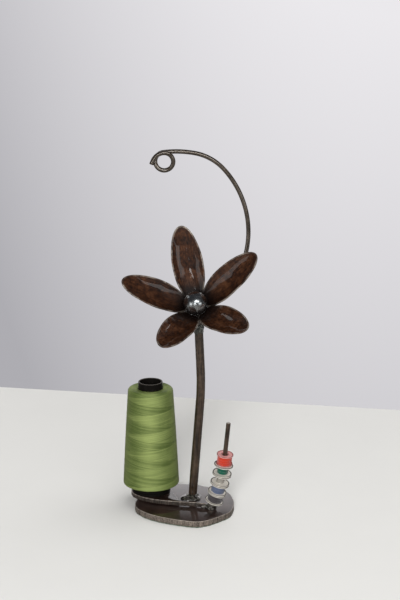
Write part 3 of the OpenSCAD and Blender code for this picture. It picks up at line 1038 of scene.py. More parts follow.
@dataclass(frozen=True)
class CorePlastic(Finish):
    """Black moulded core with handling scuffs.

    Attributes:
        colour: the plastic's own colour.
        dusty: its colour under dust.
        rubbed: its colour at the top rim, which is rubbed and also carries a painted highlight.
    """

    colour: Colour = (0.004, 0.0035, 0.003)
    dusty: Colour = (0.009, 0.008, 0.007)
    rubbed: Colour = (0.12, 0.105, 0.09)

    def dress(self, desk: Desk) -> None:
        """Adds a fine moulded grain, dust and the top rim, rubbed and with a painted highlight.

        Args:
            desk: the material's nodes.
        """
        at = desk.place()
        grain = desk.cloud(at, 0.5, 3.0, 0.6)
        dust = desk.cloud(at, (3.0, 3.0, 9.0), 4.0, 0.65)
        colour = desk.ramp(dust, (0.5, self.colour), (0.85, self.dusty))
        # The top rim is lighter as rubbing and as a painted highlight.
        worn = desk.wear() * (0.1 + 0.5 * dust)
        desk.surface(
            Base_Color=desk.mix(worn, colour, self.rubbed),
            Roughness=0.22 + 0.2 * dust,
            Specular_IOR_Level=0.06,
            Normal=desk.bump(grain, 0.03),
        )


@dataclass(frozen=True)
class ClearPlastic(Finish):
    """Clear moulded plastic, with painted shade at its rims and hub for the dark that the flanges refract.

    Attributes:
        tint: the colour of what passes through.
        rim: the painted shade at its rims and hub, which stands in for the dark that the clear flanges
            refract.
    """

    tint: Colour = (1.0, 0.94, 0.84)
    rim: Colour = (0.02, 0.012, 0.004)

    def dress(self, desk: Desk) -> None:
        """Adds flow lines, scratches and the painted shade at the rims and hub.

        Args:
            desk: the material's nodes.
        """
        at = desk.place()
        flow = desk.cloud(at, 5.0, 3.0, 0.5)
        scratches = desk.cloud(at, (0.3, 3.0, 3.0), 3.0, 0.6).between(0.6, 0.72)
        colour = desk.mix(flow, self.tint, dimmed(self.tint, 0.86))
        # Painted shade: the rims and hub are darkened to stand for the dark that the clear flanges refract.
        colour = desk.mix(desk.wear(), colour, self.rim)
        desk.surface(
            Base_Color=colour,
            Roughness=0.03 + 0.2 * scratches,
            IOR=1.5,
            Transmission_Weight=0.5,
            Coat_Weight=1.0 - 0.6 * desk.wear(),
            Coat_Roughness=0.03,
            Coat_IOR=1.9,
            Normal=desk.bump(flow * 0.6 + scratches * 0.4, 0.02),
        )


@dataclass(frozen=True)
class FeltFinish(Finish):
    """Dark green pressed felt."""

    deep: Colour = (0.012, 0.03, 0.013)
    pale: Colour = (0.05, 0.1, 0.045)

    def dress(self, desk: Desk) -> None:
        """Adds matted fibres.

        Args:
            desk: the material's nodes.
        """
        at = desk.place()
        fibres = desk.cloud(at, 0.55, 5.0, 0.7)
        clumps = desk.cloud(at, 3.5, 3.0, 0.6)
        desk.surface(
            Base_Color=desk.ramp(fibres * 0.6 + clumps * 0.4, (0.35, self.deep), (0.7, self.pale)),
            Roughness=0.95,
            Sheen_Weight=0.5,
            Sheen_Roughness=0.5,
            Normal=desk.bump(fibres, 0.4),
        )


@dataclass(frozen=True)
class TableFinish(Finish):
    """Plain off-white table under the rack.

    Attributes:
        colour: the colour that the camera sees.
        bounced: the darker colour that lights and mirrors meet.
    """

    colour: Colour = (0.69, 0.682, 0.66)
    bounced: Colour = (0.22, 0.21, 0.2)

    def dress(self, desk: Desk) -> None:
        """Adds a barely uneven white that throws little light back on the rack.

        Args:
            desk: the material's nodes.
        """
        weave = desk.cloud(desk.place(), 60.0, 3.0, 0.5)
        white = desk.mix(weave, self.colour, dimmed(self.colour, 0.97))
        desk.surface(Base_Color=desk.mix(desk.seen(), self.bounced, white), Roughness=0.8)


class Wear(Enum):
    """The finishes that this rack's pieces wear."""

    FELT = FeltFinish("felt_green", "felt")
    BASE = PlateSteel("base_plate_lacquer", "base_steel")
    LEAF = PlateSteel(
        "leaf_seat_lacquer",
        "leaf_steel",
        dark=(0.012, 0.006, 0.0045),
        warm=(0.05, 0.023, 0.016),
        edge=(0.085, 0.065, 0.052),
        ripple=1.5,
        edge_coat=1.0,
    )
    BAR = BarSteel("bar_lacquer", "bar_steel")
    WIRE = BarSteel(
        "wire_lacquer",
        "bar_steel",
        dark=(0.07, 0.056, 0.044),
        light=(0.19, 0.155, 0.12),
        gloss=0.22,
        metal=1.0,
    )
    WELD = WeldSteel("weld_metal", "weld_steel")
    # Soot and painted shade: the near-black weld round the petals' roots lies under the ball.
    SOOT_AND_SHADE = WeldSteel(
        "sooty_and_shaded_weld_metal", "weld_steel", dark=(0.003, 0.0025, 0.002), crest=(0.02, 0.017, 0.014)
    )
    NECK = WeldSteel("neck_weld_metal", "weld_steel", dark=(0.03, 0.031, 0.027), crest=(0.3, 0.31, 0.27))
    PETAL = PetalPatina("petal_patina", "petal_steel")
    BALL = BlackChrome("ball_black_chrome", "ball_steel")
    CORE = CorePlastic("core_black", "core_plastic")
    CONE = ConeYarn("cone_thread_green", "thread_cone")
    CLEAR = ClearPlastic("bobbin_clear", "clear_plastic")
    PINK = ClearPlastic("bobbin_pink", "pink_plastic", tint=(0.98, 0.46, 0.43), rim=(0.3, 0.06, 0.05))
    CHARCOAL = BobbinYarn("thread_charcoal_yarn", "thread_charcoal", colour=(0.05, 0.043, 0.046))
    BLUE = BobbinYarn("thread_blue_yarn", "thread_blue", colour=(0.095, 0.12, 0.2))
    GREEN = BobbinYarn("thread_green_yarn", "thread_green", colour=(0.002, 0.1, 0.058))
    RED = BobbinYarn("thread_red_yarn", "thread_red", colour=(0.62, 0.045, 0.016))


# Sub-assemblies


@dataclass
class SubAssembly:
    """A group of pieces that are made together."""

    def make(self) -> list[Piece]:
        """Makes the pieces."""
        raise NotImplementedError

    def show(
        self,
        name: str,
        draft: Draft,
        wear: Wear,
        nodes: Sequence[str],
        body: str = "rack",
        sharp: float = 38.0,
    ) -> Piece:
        """Turns a draft into a dressed piece of the rack.

        Args:
            name: the piece's name.
            draft: its shape.
            wear: its finish.
            nodes: the frame's nodes that it stands for.
            body: the frame's body that it rides on.
            sharp: the angle from which an edge stays sharp.

        Returns:
            The piece.
        """
        mesh = draft.mesh(name)
        mesh.shade_smooth()
        mesh.set_sharp_from_angle(angle=math.radians(sharp))
        mesh.materials.append(wear.value.material())
        piece = linked(name, mesh)
        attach(piece, body)
        if nodes:
            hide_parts(*nodes)
        return piece


@dataclass
class Base(SubAssembly):
    """The hand-cut base plate and the felt under it.

    Attributes:
        felt_edge: how far the felt's edges are rounded.
        fibre_r: radius of a loose fibre, and fibre_l about its length.
        spacing: distance between two points of an outline.
        cut: the plate's radius all round, from +X on, as shares of plate_r.
    """

    plate_r: float = 53.0
    centre: Point = (-8.0, -13.0)
    felt_t: float = 0.8
    felt_inset: float = 0.5
    edge: float = 0.55
    felt_edge: float = 0.25
    fibre_r: float = 0.06
    fibre_l: float = 1.25
    spacing: float = 0.78
    cut: tuple[float, ...] = (
        1.005, 1.01, 1.03, 0.987, 0.938, 0.958, 0.97, 1.03, 1.04, 1.02, 1.0, 0.99,
        1.02, 1.035, 0.985, 0.936, 0.908, 0.911, 0.96, 1.047, 1.04, 1.025, 1.049, 1.022,
    )

    def outline(self, inset: float, steps: int = 18) -> np.ndarray:
        """The plate's outline, moved in.

        Args:
            inset: how far it is moved in.
            steps: pieces between two corners.

        Returns:
            One row for each point.
        """
        ways = headings(len(self.cut))
        corners = [(share * self.plate_r - inset) * way + self.centre for share, way in zip(self.cut, ways)]
        return smooth_loop(corners, steps)

    def make(self) -> list[Piece]:
        """Makes the felt and the plate.

        Returns:
            The pieces.
        """
        loop = self.outline(self.edge * 0.1)
        along = np.arange(len(loop)) * self.spacing
        marks = waves(along, (1.9, 0.05, 0.3), (3.1, 0.07, 1.2), (7.3, 0.1, 2.0), (17.0, 0.12, 0.5))
        plate = slab(loop, self.felt_t, BASE_TOP, self.edge, marks - 0.12)
        return [
            self.show("felt_lining", self.felt(), Wear.FELT, ["felt_pad"]),
            self.show("base_plate_cut", plate, Wear.BASE, ["base_plate"]),
        ]

    def felt(self) -> Draft:
        """The felt with a ragged edge and loose fibres.

        Returns:
            The felt.
        """
        loop = self.outline(self.felt_inset)
        along = np.arange(len(loop)) * self.spacing
        ragged = waves(along, (2.3, 0.18, 0.0), (5.1, 0.22, 1.0), (11.7, 0.2, 2.4)) - 0.1
        out = outward_2d(loop)
        fibres = []
        shares = np.linspace(0, 1, 5)
        for k in range(0, len(loop), 3):
            way = out[k] * 0.8 + np.array([math.sin(k * 1.7), math.cos(k * 2.3)]) * 0.6
            start = loop[k] + out[k] * (ragged[k] - 0.5)
            rise = 0.35 + 0.3 * math.sin(k * 0.9)
            line = [[*(start + way * t * self.fibre_l), 0.1 + rise * math.sin(t * 2.4) * 0.8] for t in shares]
            fibres.append(tube(np.array(line), self.fibre_r, 5))
        return slab(loop, 0.0, self.felt_t, self.felt_edge, ragged).joined(*fibres)


@dataclass
class ConeSeat(SubAssembly):
    """The leaf-shaped seat, its spacer and the pin inside the cone.

    Attributes:
        leaf: the seat's outline about the cone's axis.
        tail: the outline of its tail about the spike's foot.
    """

    seat_low: float = BASE_TOP + 1.2
    edge: float = 0.6
    spacer_r: float = 9.0
    pin_d: float = 4.76
    pin_h: float = 68.0
    pin_sunk: float = 0.5
    pin_bevel: float = 0.6
    spacer_edge: float = 0.2
    leaf: tuple[Point, ...] = (
        (30, -26.5), (29.4, -22.5), (27.2, -16), (25.2, -9.8), (23.2, -4), (21.9, 3), (19.4, 10.5),
        (14.6, 17), (7.5, 21.3), (-1, 22.4), (-9, 20.6), (-16, 15.9), (-20.6, 9), (-22, 1),
        (-21.1, -6), (-17.9, -12), (-12.4, -17.9), (-5.8, -22.2), (1, -25.6), (8, -28.2),
        (15.7, -30.4), (24, -32), (32.2, -33.3),
    )
    tail: tuple[Point, ...] = (
        (-22.5, 3.4), (-14, 1.6), (-7.6, -0.2), (-6, 1.2), (-7.6, 3.8), (-14, 5.4), (-22.6, 7.1), (-31, 8.2),
    )

    def make(self) -> list[Piece]:
        """Makes the seat, its spacer and the pin.

        Returns:
            The pieces.
        """
        corners = [np.array(place) + CONE_AXIS for place in self.leaf]
        corners += [np.array(place) + SPIKE_FOOT for place in self.tail]
        loop = smooth_loop(corners, 14)
        steps = np.linalg.norm(np.roll(loop, -1, 0) - loop, axis=1)
        along = np.concatenate([[0.0], np.cumsum(steps)[:-1]])
        torch = waves(along, (1.7, 0.07, 0.0), (2.6, 0.1, 1.4), (6.3, 0.13, 0.6), (14.0, 0.1, 2.2))
        seat = slab(loop, self.seat_low, SEAT_TOP, self.edge, torch - 0.12)
        low, size = self.seat_low, self.spacer_r
        rows = [(0, BASE_TOP), (size, BASE_TOP), (size, low), (0, low)]
        spacer = turned(softened(rows, self.spacer_edge))
        line = np.linspace((*CONE_AXIS, SEAT_TOP - self.pin_sunk), (*CONE_AXIS, SEAT_TOP + self.pin_h), 60)
        pin = tube(line, self.pin_d / 2, bevel=self.pin_bevel)
        return [
            self.show("seat_washer", spacer.placed(shift=(*CONE_AXIS, 0)), Wear.BAR, ["seat_spacer"]),
            self.show("leaf_seat", seat, Wear.LEAF, ["cone_seat"]),
            self.show("cone_pin_bar", pin, Wear.BAR, ["cone_pin"]),
        ]


@dataclass
class Stem(SubAssembly):
    """The leaning stem with the welds at its foot and neck.

    Attributes:
        drops: how many drops lie round the foot, each with drop_r and drop_h.
        climb_r: radius of the drops that climb the stem above them.
        lobes: place and size of each lobe of the foot's weld, as shares of foot_r.
        neck_drop: start of the neck's weld below the stem's top, along the stem.
    """

    diameter: float = 9.5
    low_l: float = 108.0
    lean: float = 4.4
    bend_r: float = 338.0
    bend_a: float = 7.0
    high_l: float = 63.8
    foot_r: float = 10.2
    drops: int = 16
    drop_r: float = 2.6
    drop_h: float = 2.0
    climb_r: float = 1.5
    lobe_h: float = 3.6
    lobes: tuple[tuple[float, float, float], ...] = ((-0.5, -0.33, 0.8), (0.25, -0.5, 0.65))
    neck_r: float = 5.9
    neck_l: float = 13.0
    neck_drop: float = 26.5

    def path(self) -> WirePath:
        """The stem's middle line from the base plate up."""
        foot = WirePath((0, BASE_TOP), 90 - self.lean)
        return foot.run(self.low_l).bend(self.bend_r, self.bend_a).run(self.high_l)

    def make(self) -> list[Piece]:
        """Makes the stem and its two welds.

        Returns:
            The pieces.
        """
        bar = tube(self.path().line(), self.diameter / 2, 40).roughened(size=7.0, depth=0.09, seed=3.0)
        return [
            self.show("stem_bar", bar, Wear.BAR, ["stem"]),
            self.show("foot_weld", self.foot_weld(), Wear.WELD, ["stem_foot_weld"]),
            self.show("neck_weld_collar", self.neck_weld(), Wear.NECK, ["neck_weld"]),
        ]

    def foot_weld(self) -> Draft:
        """The round weld at the stem's foot, laid in drops, with two lobes in front.

        Returns:
            The weld in its place.
        """
        r, neck = self.foot_r, self.diameter / 2
        rows = [(0, -0.3), (r - 0.6, -0.3), (r - 0.8, 0.3), (r - 2.4, 1.2)]
        bodies = [turned([*rows, (neck + 1.0, 3.0), (neck + 0.3, 5.0), (0, 5.0)], 40)]
        for k, way in enumerate(headings(self.drops, 5)):
            bodies.append(dome(self.drop_r, self.drop_h).placed(shift=(*(way * (r - 2.5)), 0)))
            bodies.append(bead(self.climb_r, *(way * (neck + 1.0)), 3.0 + 0.3 * math.sin(k * 2.1)))
        for x, y, share in self.lobes:
            bodies.append(dome(share * r, self.lobe_h).placed(shift=(x * r, y * r, 0)))
        skin = melted(bodies, voxel=0.42, rounds=8).roughened(size=2.6, depth=0.16, seed=5.0)
        return skin.placed(shift=(0, 0, BASE_TOP))

    def neck_weld(self) -> Draft:
        """The lumpy weld round the stem's neck.

        Returns:
            The weld in its place.
        """
        start = self.path().run(-self.neck_drop)
        inner, r, length = self.diameter / 2 - 0.6, self.neck_r, self.neck_l
        rows = [
            (inner, 0), (r - 0.7, 0.2 * length), (r - 0.1, 0.45 * length), (r, 0.7 * length),
            (r - 0.6, 0.9 * length), (inner, length), (inner, 0),
        ]
        collar = turned(softened(rows, 1.6, 4), 48).fused(voxel=0.45, rounds=1)
        lumpy = collar.roughened(size=3.4, depth=0.85, seed=1.0)
        return lumpy.placed(turned_about("Y", 90 - start.heading), (start.place[0], 0, start.place[1]))


@dataclass
class Flower(SubAssembly):
    """Five dished petals, the ball in their middle and the weld plate behind them.

    Attributes:
        elevation: how far the flower faces up.
        azimuth: how far it is turned to the left.
        side: how far its root lies left of the stem's top.
        stand: how far it stands off the stem.
        fade_l: how far from the root the hammer marks take to their full depth.
        joint: the gap between two petals.
        hub_top: height of the hub's front.
        root_drop_r: radius of the drops at the petals' roots, on a ring of root_ring_r.
        petal_bead_r: radius of the beads that hold the petals.
        stem_bead_r: radius of those on the stem's side, on a ring of stem_ring_r.
        names: the petals, anticlockwise from first_a on.
        points: points round a petal's rim.
        rows: rings from a petal's middle to its rim.
    """

    stem: Stem
    elevation: float = 42.5
    azimuth: float = 5.0
    side: float = 1.3
    stand: float = 5.0
    petal_l: float = 88.7
    petal_w: float = 33.0
    wide_at: float = 45.0
    root: float = 8.0
    sheet: float = 1.5
    cup_a: float = 33.0
    dish_r: float = 24.0
    bow_r: float = 236.0
    fade_l: float = 22.0
    joint: float = 0.2
    first_a: float = 104.0
    step_a: float = 72.0
    hub_r: float = 13.5
    hub_back_r: float = 8.2
    hub_top: float = 1.6
    root_drop_r: float = 1.9
    root_ring_r: float = 10.6
    petal_bead_r: float = 1.7
    stem_bead_r: float = 1.6
    stem_ring_r: float = 6.6
    ball_d: float = 25.4
    ball_rise: float = 11.0
    names: tuple[str, ...] = ("top", "left", "lower_left", "lower_right", "right")
    points: int = 132
    rows: int = 26

    def __post_init__(self) -> None:
        """Finds the flower's place at the top of the stem."""
        self.turn = turned_about("Z", -self.azimuth) @ turned_about("X", 90 - self.elevation)
        top = self.stem.path().place
        self.centre = np.array([top[0] - self.side, 0.0, top[1]]) + self.stand * self.turn[:, 2]

    def at_flower(self, draft: Draft) -> Draft:
        """A draft that was made about the flower's own axis, in its place."""
        return draft.placed(self.turn, self.centre)

    def on_sheet(self, plan: np.ndarray, offset: np.ndarray) -> np.ndarray:
        """Places on the dished sheet before it is tilted up.

        Args:
            plan: places along and across the petal, in plan.
            offset: distance from the middle of the sheet towards its back.

        Returns:
            The places in space.
        """
        mid_r = self.dish_r + self.sheet / 2
        across = np.arcsin(plan[:, 1] / mid_r)
        reach = self.bow_r - self.dish_r + mid_r * np.cos(across)
        along = np.arcsin((plan[:, 0] - self.petal_l / 2) / reach)
        out = np.stack([np.sin(along) * np.cos(across), np.sin(across), -np.cos(along) * np.cos(across)], 1)
        bow_z = math.sqrt(self.bow_r**2 - (self.petal_l / 2) ** 2)
        core = np.stack([np.sin(along), 0 * along, -np.cos(along)], 1) * (self.bow_r - self.dish_r)
        return core + out * (mid_r + offset)[:, None] + np.array([self.petal_l / 2, 0, bow_z])

    def wobble(self, plan: np.ndarray, number: int) -> np.ndarray:
        """How far the hammer left a petal's sheet out of true.

        Args:
            plan: places along and across the petal, in plan.
            number: the petal's number, for waves of its own.

        Returns:
            The offset at each place, which fades away at the root.
        """
        dents = waves(plan[:, 0], (31.0, 0.22, number), (13.0, 0.05, 2.0 * number)) * np.cos(plan[:, 1] / 6)
        dents += waves(plan[:, 1] + 0.3 * plan[:, 0], (11.0, 0.04, 3.0 * number))
        return dents * np.clip((plan[:, 0] - self.root) / self.fade_l, 0, 1)

    def petal(self, number: int) -> Draft:
        """One petal: its front, its rounded rim and its back, hammered a little out of true.

        Args:
            number: its number among the names.

        Returns:
            The petal in its place.
        """
        angle = round_turn(self.points)
        reach = np.where(np.cos(angle) > 0, self.petal_l - self.wide_at, self.wide_at - self.root)
        rim = np.stack([self.wide_at + reach * np.cos(angle), self.petal_w / 2 * np.sin(angle)], 1)
        out = outward_2d(rim)
        middle, half = np.array([self.wide_at, 0.0]), self.sheet / 2
        shares = [max(0.012, (k / self.rows) ** 0.8) for k in range(self.rows)]
        levels = [(share, -1.0, 0.0) for share in shares]
        levels += [(1.0, math.sin(t), 1 - math.cos(t)) for t in np.linspace(-1.3, 1.3, 7)]
        levels += [(share, 1.0, 0.0) for share in reversed(shares)]
        rings, worn, plans = [], [], []
        for share, side, inward in levels:
            rounding = out * half * (1 - inward) if share == 1.0 else 0.0
            plan = middle + (rim - out * half - middle) * share + rounding
            rings.append(self.on_sheet(plan, side * half + self.wobble(plan, number)))
            # Wear marks the rim, which the finish paints as bare metal and a painted highlight.
            worn.append(np.full(len(rim), 1.0 if share == 1.0 and abs(side) < 0.99 else 0.0))
            plans.append(plan)
        blade = woven(np.array(rings), wear=np.array(worn))
        flat = np.concatenate(plans)
        blade.lay = [tuple(flat[k]) for face in blade.faces for k in face]
        blade = blade.placed(turned_about("Y", -self.cup_a))
        start = (self.joint / 2 / math.sin(math.radians(self.step_a / 2)), 0, 0)
        for sign in (-1, 1):
            edge = ahead(sign * self.step_a / 2)
            blade = blade.cut(start, (-sign * edge[1], sign * edge[0], 0.0))
        return self.at_flower(blade.placed(turned_about("Z", self.first_a + number * self.step_a)))

    def ball_draft(self) -> Draft:
        """The polished ball.

        Returns:
            The ball in its place.
        """
        r = self.ball_d / 2
        rows = [(r * math.sin(t), -r * math.cos(t)) for t in np.linspace(0.0, math.pi, 73)]
        return self.at_flower(turned(rows, 128).placed(shift=(0, 0, self.ball_rise)))

    def root_weld(self) -> Draft:
        """Drops of weld where the petals meet round the ball.

        Returns:
            The drops in their places.
        """
        drops = []
        for k, way in enumerate(headings(30, self.first_a)):
            rise = 3.4 + 0.9 * abs(math.sin(math.radians(k * 36 + 90)))
            drops.append(bead(self.root_drop_r, *(way * self.root_ring_r), rise))
        return self.at_flower(melted(drops, voxel=0.5, rounds=2).roughened(size=1.8, depth=0.35, seed=2.0))

    def hub(self) -> Draft:
        """The weld plate behind the petals, with its beads on the stem and on each petal.

        Returns:
            The plate in its place.
        """
        r, back, front = self.hub_r, -self.stand, self.hub_top
        rows = [(0, back), (self.hub_back_r, back), (r, 0.2), (r, front), (0, front)]
        bodies = [turned(softened(rows, 0.9), 72)]
        for k in range(5):
            for shift in (-9, 0, 9):
                way = ahead(self.first_a + k * self.step_a + shift)
                bodies.append(bead(self.petal_bead_r, *(way * (r - 0.7)), 1.7))
        bodies += [bead(self.stem_bead_r, *(way * self.stem_ring_r), back + 0.9) for way in headings(14)]
        return self.at_flower(melted(bodies, voxel=0.6, rounds=2).roughened(size=3.0, depth=0.3, seed=4.0))

    def make(self) -> list[Piece]:
        """Makes the petals, the hub, the welds at their roots and the ball.

        Returns:
            The pieces.
        """
        made = []
        for k, name in enumerate(self.names):
            nodes = [f"petal_{name}"]
            made.append(self.show(f"petal_{name}_sheet", self.petal(k), Wear.PETAL, nodes, sharp=50))
        made.append(self.show("hub_plate", self.hub(), Wear.WELD, ["flower_hub"], sharp=60))
        # The root weld wears near-black soot and painted shade, under the ball.
        made.append(self.show("petal_root_weld", self.root_weld(), Wear.SOOT_AND_SHADE, [], sharp=60))
        made.append(self.show("middle_ball", self.ball_draft(), Wear.BALL, ["flower_ball"]))
        return made


@dataclass
class ThreadHook(SubAssembly):
    """The long bent wire with its eye, and the weld that holds it.

    Attributes:
        drop: its root below the stem's top, along the stem.
        low: radius and angle of the wire's first arc, and mid and top those of the next two.
        drop_r: mean radius of the weld's drops, which lie drop_step apart.
    """

    stem: Stem
    diameter: float = 4.76
    drop: float = 5.5
    leave_a: float = 28.1
    low: Point = (100.0, 104.1)
    mid: Point = (54.0, 37.8)
    top: Point = (110.0, 17.0)
    eye_r: float = 9.4
    eye_gap: float = 0.4
    tail_r: float = 13.0
    tail_a: float = 60.0
    tail_l: float = 4.6
    bevel: float = 0.6
    bead_r: float = 2.4
    drop_r: float = 1.7
    drop_step: float = 0.75

    def root(self) -> WirePath:
        """Where the wire leaves the stem."""
        top = self.stem.path()
        return WirePath(top.place - self.drop * ahead(top.heading), self.leave_a, 1.6)

    def line(self) -> np.ndarray:
        """The wire's whole middle line: three arcs, one turn of the eye and the loose tail.

        Returns:
            One row for each point.
        """
        beside = (self.stem.diameter + self.diameter) / 2 + 0.01
        arcs = self.root()
        for radius, angle in (self.low, self.mid, self.top):
            arcs.bend(radius, angle)
        tilt = math.degrees(math.asin((self.diameter + self.eye_gap) / (4 * self.eye_r)))
        lean = turned_about("X", tilt)
        first = WirePath((0, 0), 0, 0.7).bend(self.eye_r, 180).line() @ lean.T
        second = WirePath((0, 0), 180, 0.7).bend(self.eye_r, 180).line() @ lean + first[-1]
        tail = WirePath((0, 0), 0, 0.7).bend(self.tail_r, self.tail_a).run(self.tail_l)
        loose = tail.line() @ lean.T + second[-1]
        eye = np.concatenate([first[1:], second[1:], loose[1:]]) @ turned_about("Y", -arcs.heading).T
        end = np.array([arcs.place[0], 0, arcs.place[1]])
        return np.concatenate([arcs.line(), eye + end]) + np.array([0, beside, 0])

    def weld(self) -> Draft:
        """Beads of weld along both sides of the wire's root.

        Returns:
            The beads in their places.
        """
        start, depth = self.root().place, (self.stem.diameter + self.bead_r) / 2 - 0.6
        along, across = ahead(self.leave_a), ahead(self.leave_a + 90)
        drops = []
        for side in (-1, 1):
            for k in range(6):
                place = start + along * (0.9 + self.drop_step * k)
                place = place + side * across * (self.diameter / 2 + 0.5)
                drops.append(bead(self.drop_r + 0.2 * math.sin(k * 2.3), place[0], depth, place[1]))
        return melted(drops, voxel=0.4, rounds=2).roughened(size=1.6, depth=0.3, seed=6.0)

    def make(self) -> list[Piece]:
        """Makes the wire and its weld.

        Returns:
            The pieces.
        """
        wire = tube(self.line(), self.diameter / 2, 32, self.bevel)
        wire = wire.roughened(size=9.0, depth=0.03, seed=8.0)
        return [
            self.show("hook_wire", wire, Wear.WIRE, ["thread_hook"]),
            self.show("hook_weld_beads", self.weld(), Wear.WELD, ["hook_weld"], sharp=60),
        ]


@dataclass
class Spike(SubAssembly):
    """The bent spike for the bobbins and the weld at its foot.

    Attributes:
        lean_x: how far it leans to the right at its foot.
        lean_y: how far its plane leans to the front.
        bobbin_start: the lowest bobbin's underside, along the wire.
        tail: where the weld's run on the seat's tail ends, from the foot.
        low_drop_r: radius of the drops round the weld's foot, on a ring of low_ring_r.
        high_drop_r: radius of those round its top, on a ring of high_ring_r.
    """

    diameter: float = 4.76
    lean_x: float = 19.6
    lean_y: float = 7.9
    bend_a: float = 14.5
    free_l: float = 36.3
    bevel: float = 0.6
    bobbin_start: float = 10.4
    bobbin_h: float = 10.8
    bobbin_gap: float = 0.8
    top_gap: float = 1.15
    top_h: float = 11.4
    bend_above: float = 1.0
    weld_r: float = 5.8
    weld_rise: float = 4.3
    tail: Point = (-8.5, 1.6)
    tail_r: float = 3.2
    low_drop_r: float = 1.9
    low_ring_r: float = 4.0
    high_drop_r: float = 1.7
    high_ring_r: float = 3.8

    def bend_l(self) -> float:
        """Length of the bend, up to just above the top bobbin."""
        stack = self.bobbin_start + 4 * self.bobbin_h + 3 * self.bobbin_gap
        return stack + self.top_gap + self.top_h + self.bend_above

    def path(self, length: float | None = None) -> WirePath:
        """The spike's middle line in its own upright plane.

        Args:
            length: how far up its bend it goes, or None for all of it.

        Returns:
            The line so far.
        """
        share = 1.0 if length is None else length / self.bend_l()
        radius = self.bend_l() / math.radians(self.bend_a)
        return WirePath((0, 0), 90 - self.lean_x).bend(radius, self.bend_a * share)

    def at_spike(self, draft: Draft) -> Draft:
        """A draft made in the spike's own plane, in its place."""
        return draft.placed(turned_about("X", self.lean_y), (*SPIKE_FOOT, BASE_TOP))

    def along(self, draft: Draft, length: float | None, shift: float) -> Draft:
        """A turned draft set square on the wire.

        Args:
            draft: the turned draft, about +Z.
            length: where it stands along the bend, or None for the bend's end.
            shift: how far it then moves along its own axis.

        Returns:
            The draft in its place.
        """
        path = self.path(length)
        x, z = path.place
        moved = draft.placed(shift=(0, 0, shift))
        return self.at_spike(moved.placed(turned_about("Y", 90 - path.heading), (x, 0, z)))

    def weld(self) -> Draft:
        """The lump round the spike's foot that runs on to the seat's tail.

        Returns:
            The lump in its place.
        """
        x, y = self.tail
        lean = turned_about("X", self.lean_y) @ turned_about("Y", self.lean_x)
        rises = np.linspace(0, self.weld_rise - 0.3, 4)
        bodies = [ball(self.weld_r - 0.5, 32).placed(lean, lean @ (0, 0, rise)) for rise in rises]
        for k in range(9):
            lump = ball(self.tail_r - 0.3 + 0.35 * math.sin(k * 2.0), 20)
            bodies.append(lump.placed(shift=(x * k / 8, y * k / 8, 1.9 + 0.2 * math.cos(k * 3.0))))
        for way in headings(9):
            bodies.append(bead(self.low_drop_r, *(way * self.low_ring_r), 1.4))
            high = lean @ (*(way * self.high_ring_r), self.weld_rise + 1.2)
            bodies.append(ball(self.high_drop_r).placed(lean, high))
        whole = melted(bodies, voxel=0.42, rounds=5).roughened(size=3.0, depth=0.3, seed=9.0)
        return whole.cut((0, 0, -0.05), (0, 0, -1)).placed(shift=(*SPIKE_FOOT, BASE_TOP))

    def make(self) -> list[Piece]:
        """Makes the spike and its weld.

        Returns:
            The pieces.
        """
        line = self.path().run(self.free_l).line()
        wire = self.at_spike(tube(line, self.diameter / 2, 32, self.bevel))
        wire = wire.roughened(size=6.0, depth=0.05, seed=11.0)
        return [
            self.show("spike_wire", wire, Wear.BAR, ["bobbin_spike"]),
            self.show("spike_weld_lump", self.weld(), Wear.WELD, ["spike_foot_weld"], sharp=60),
        ]


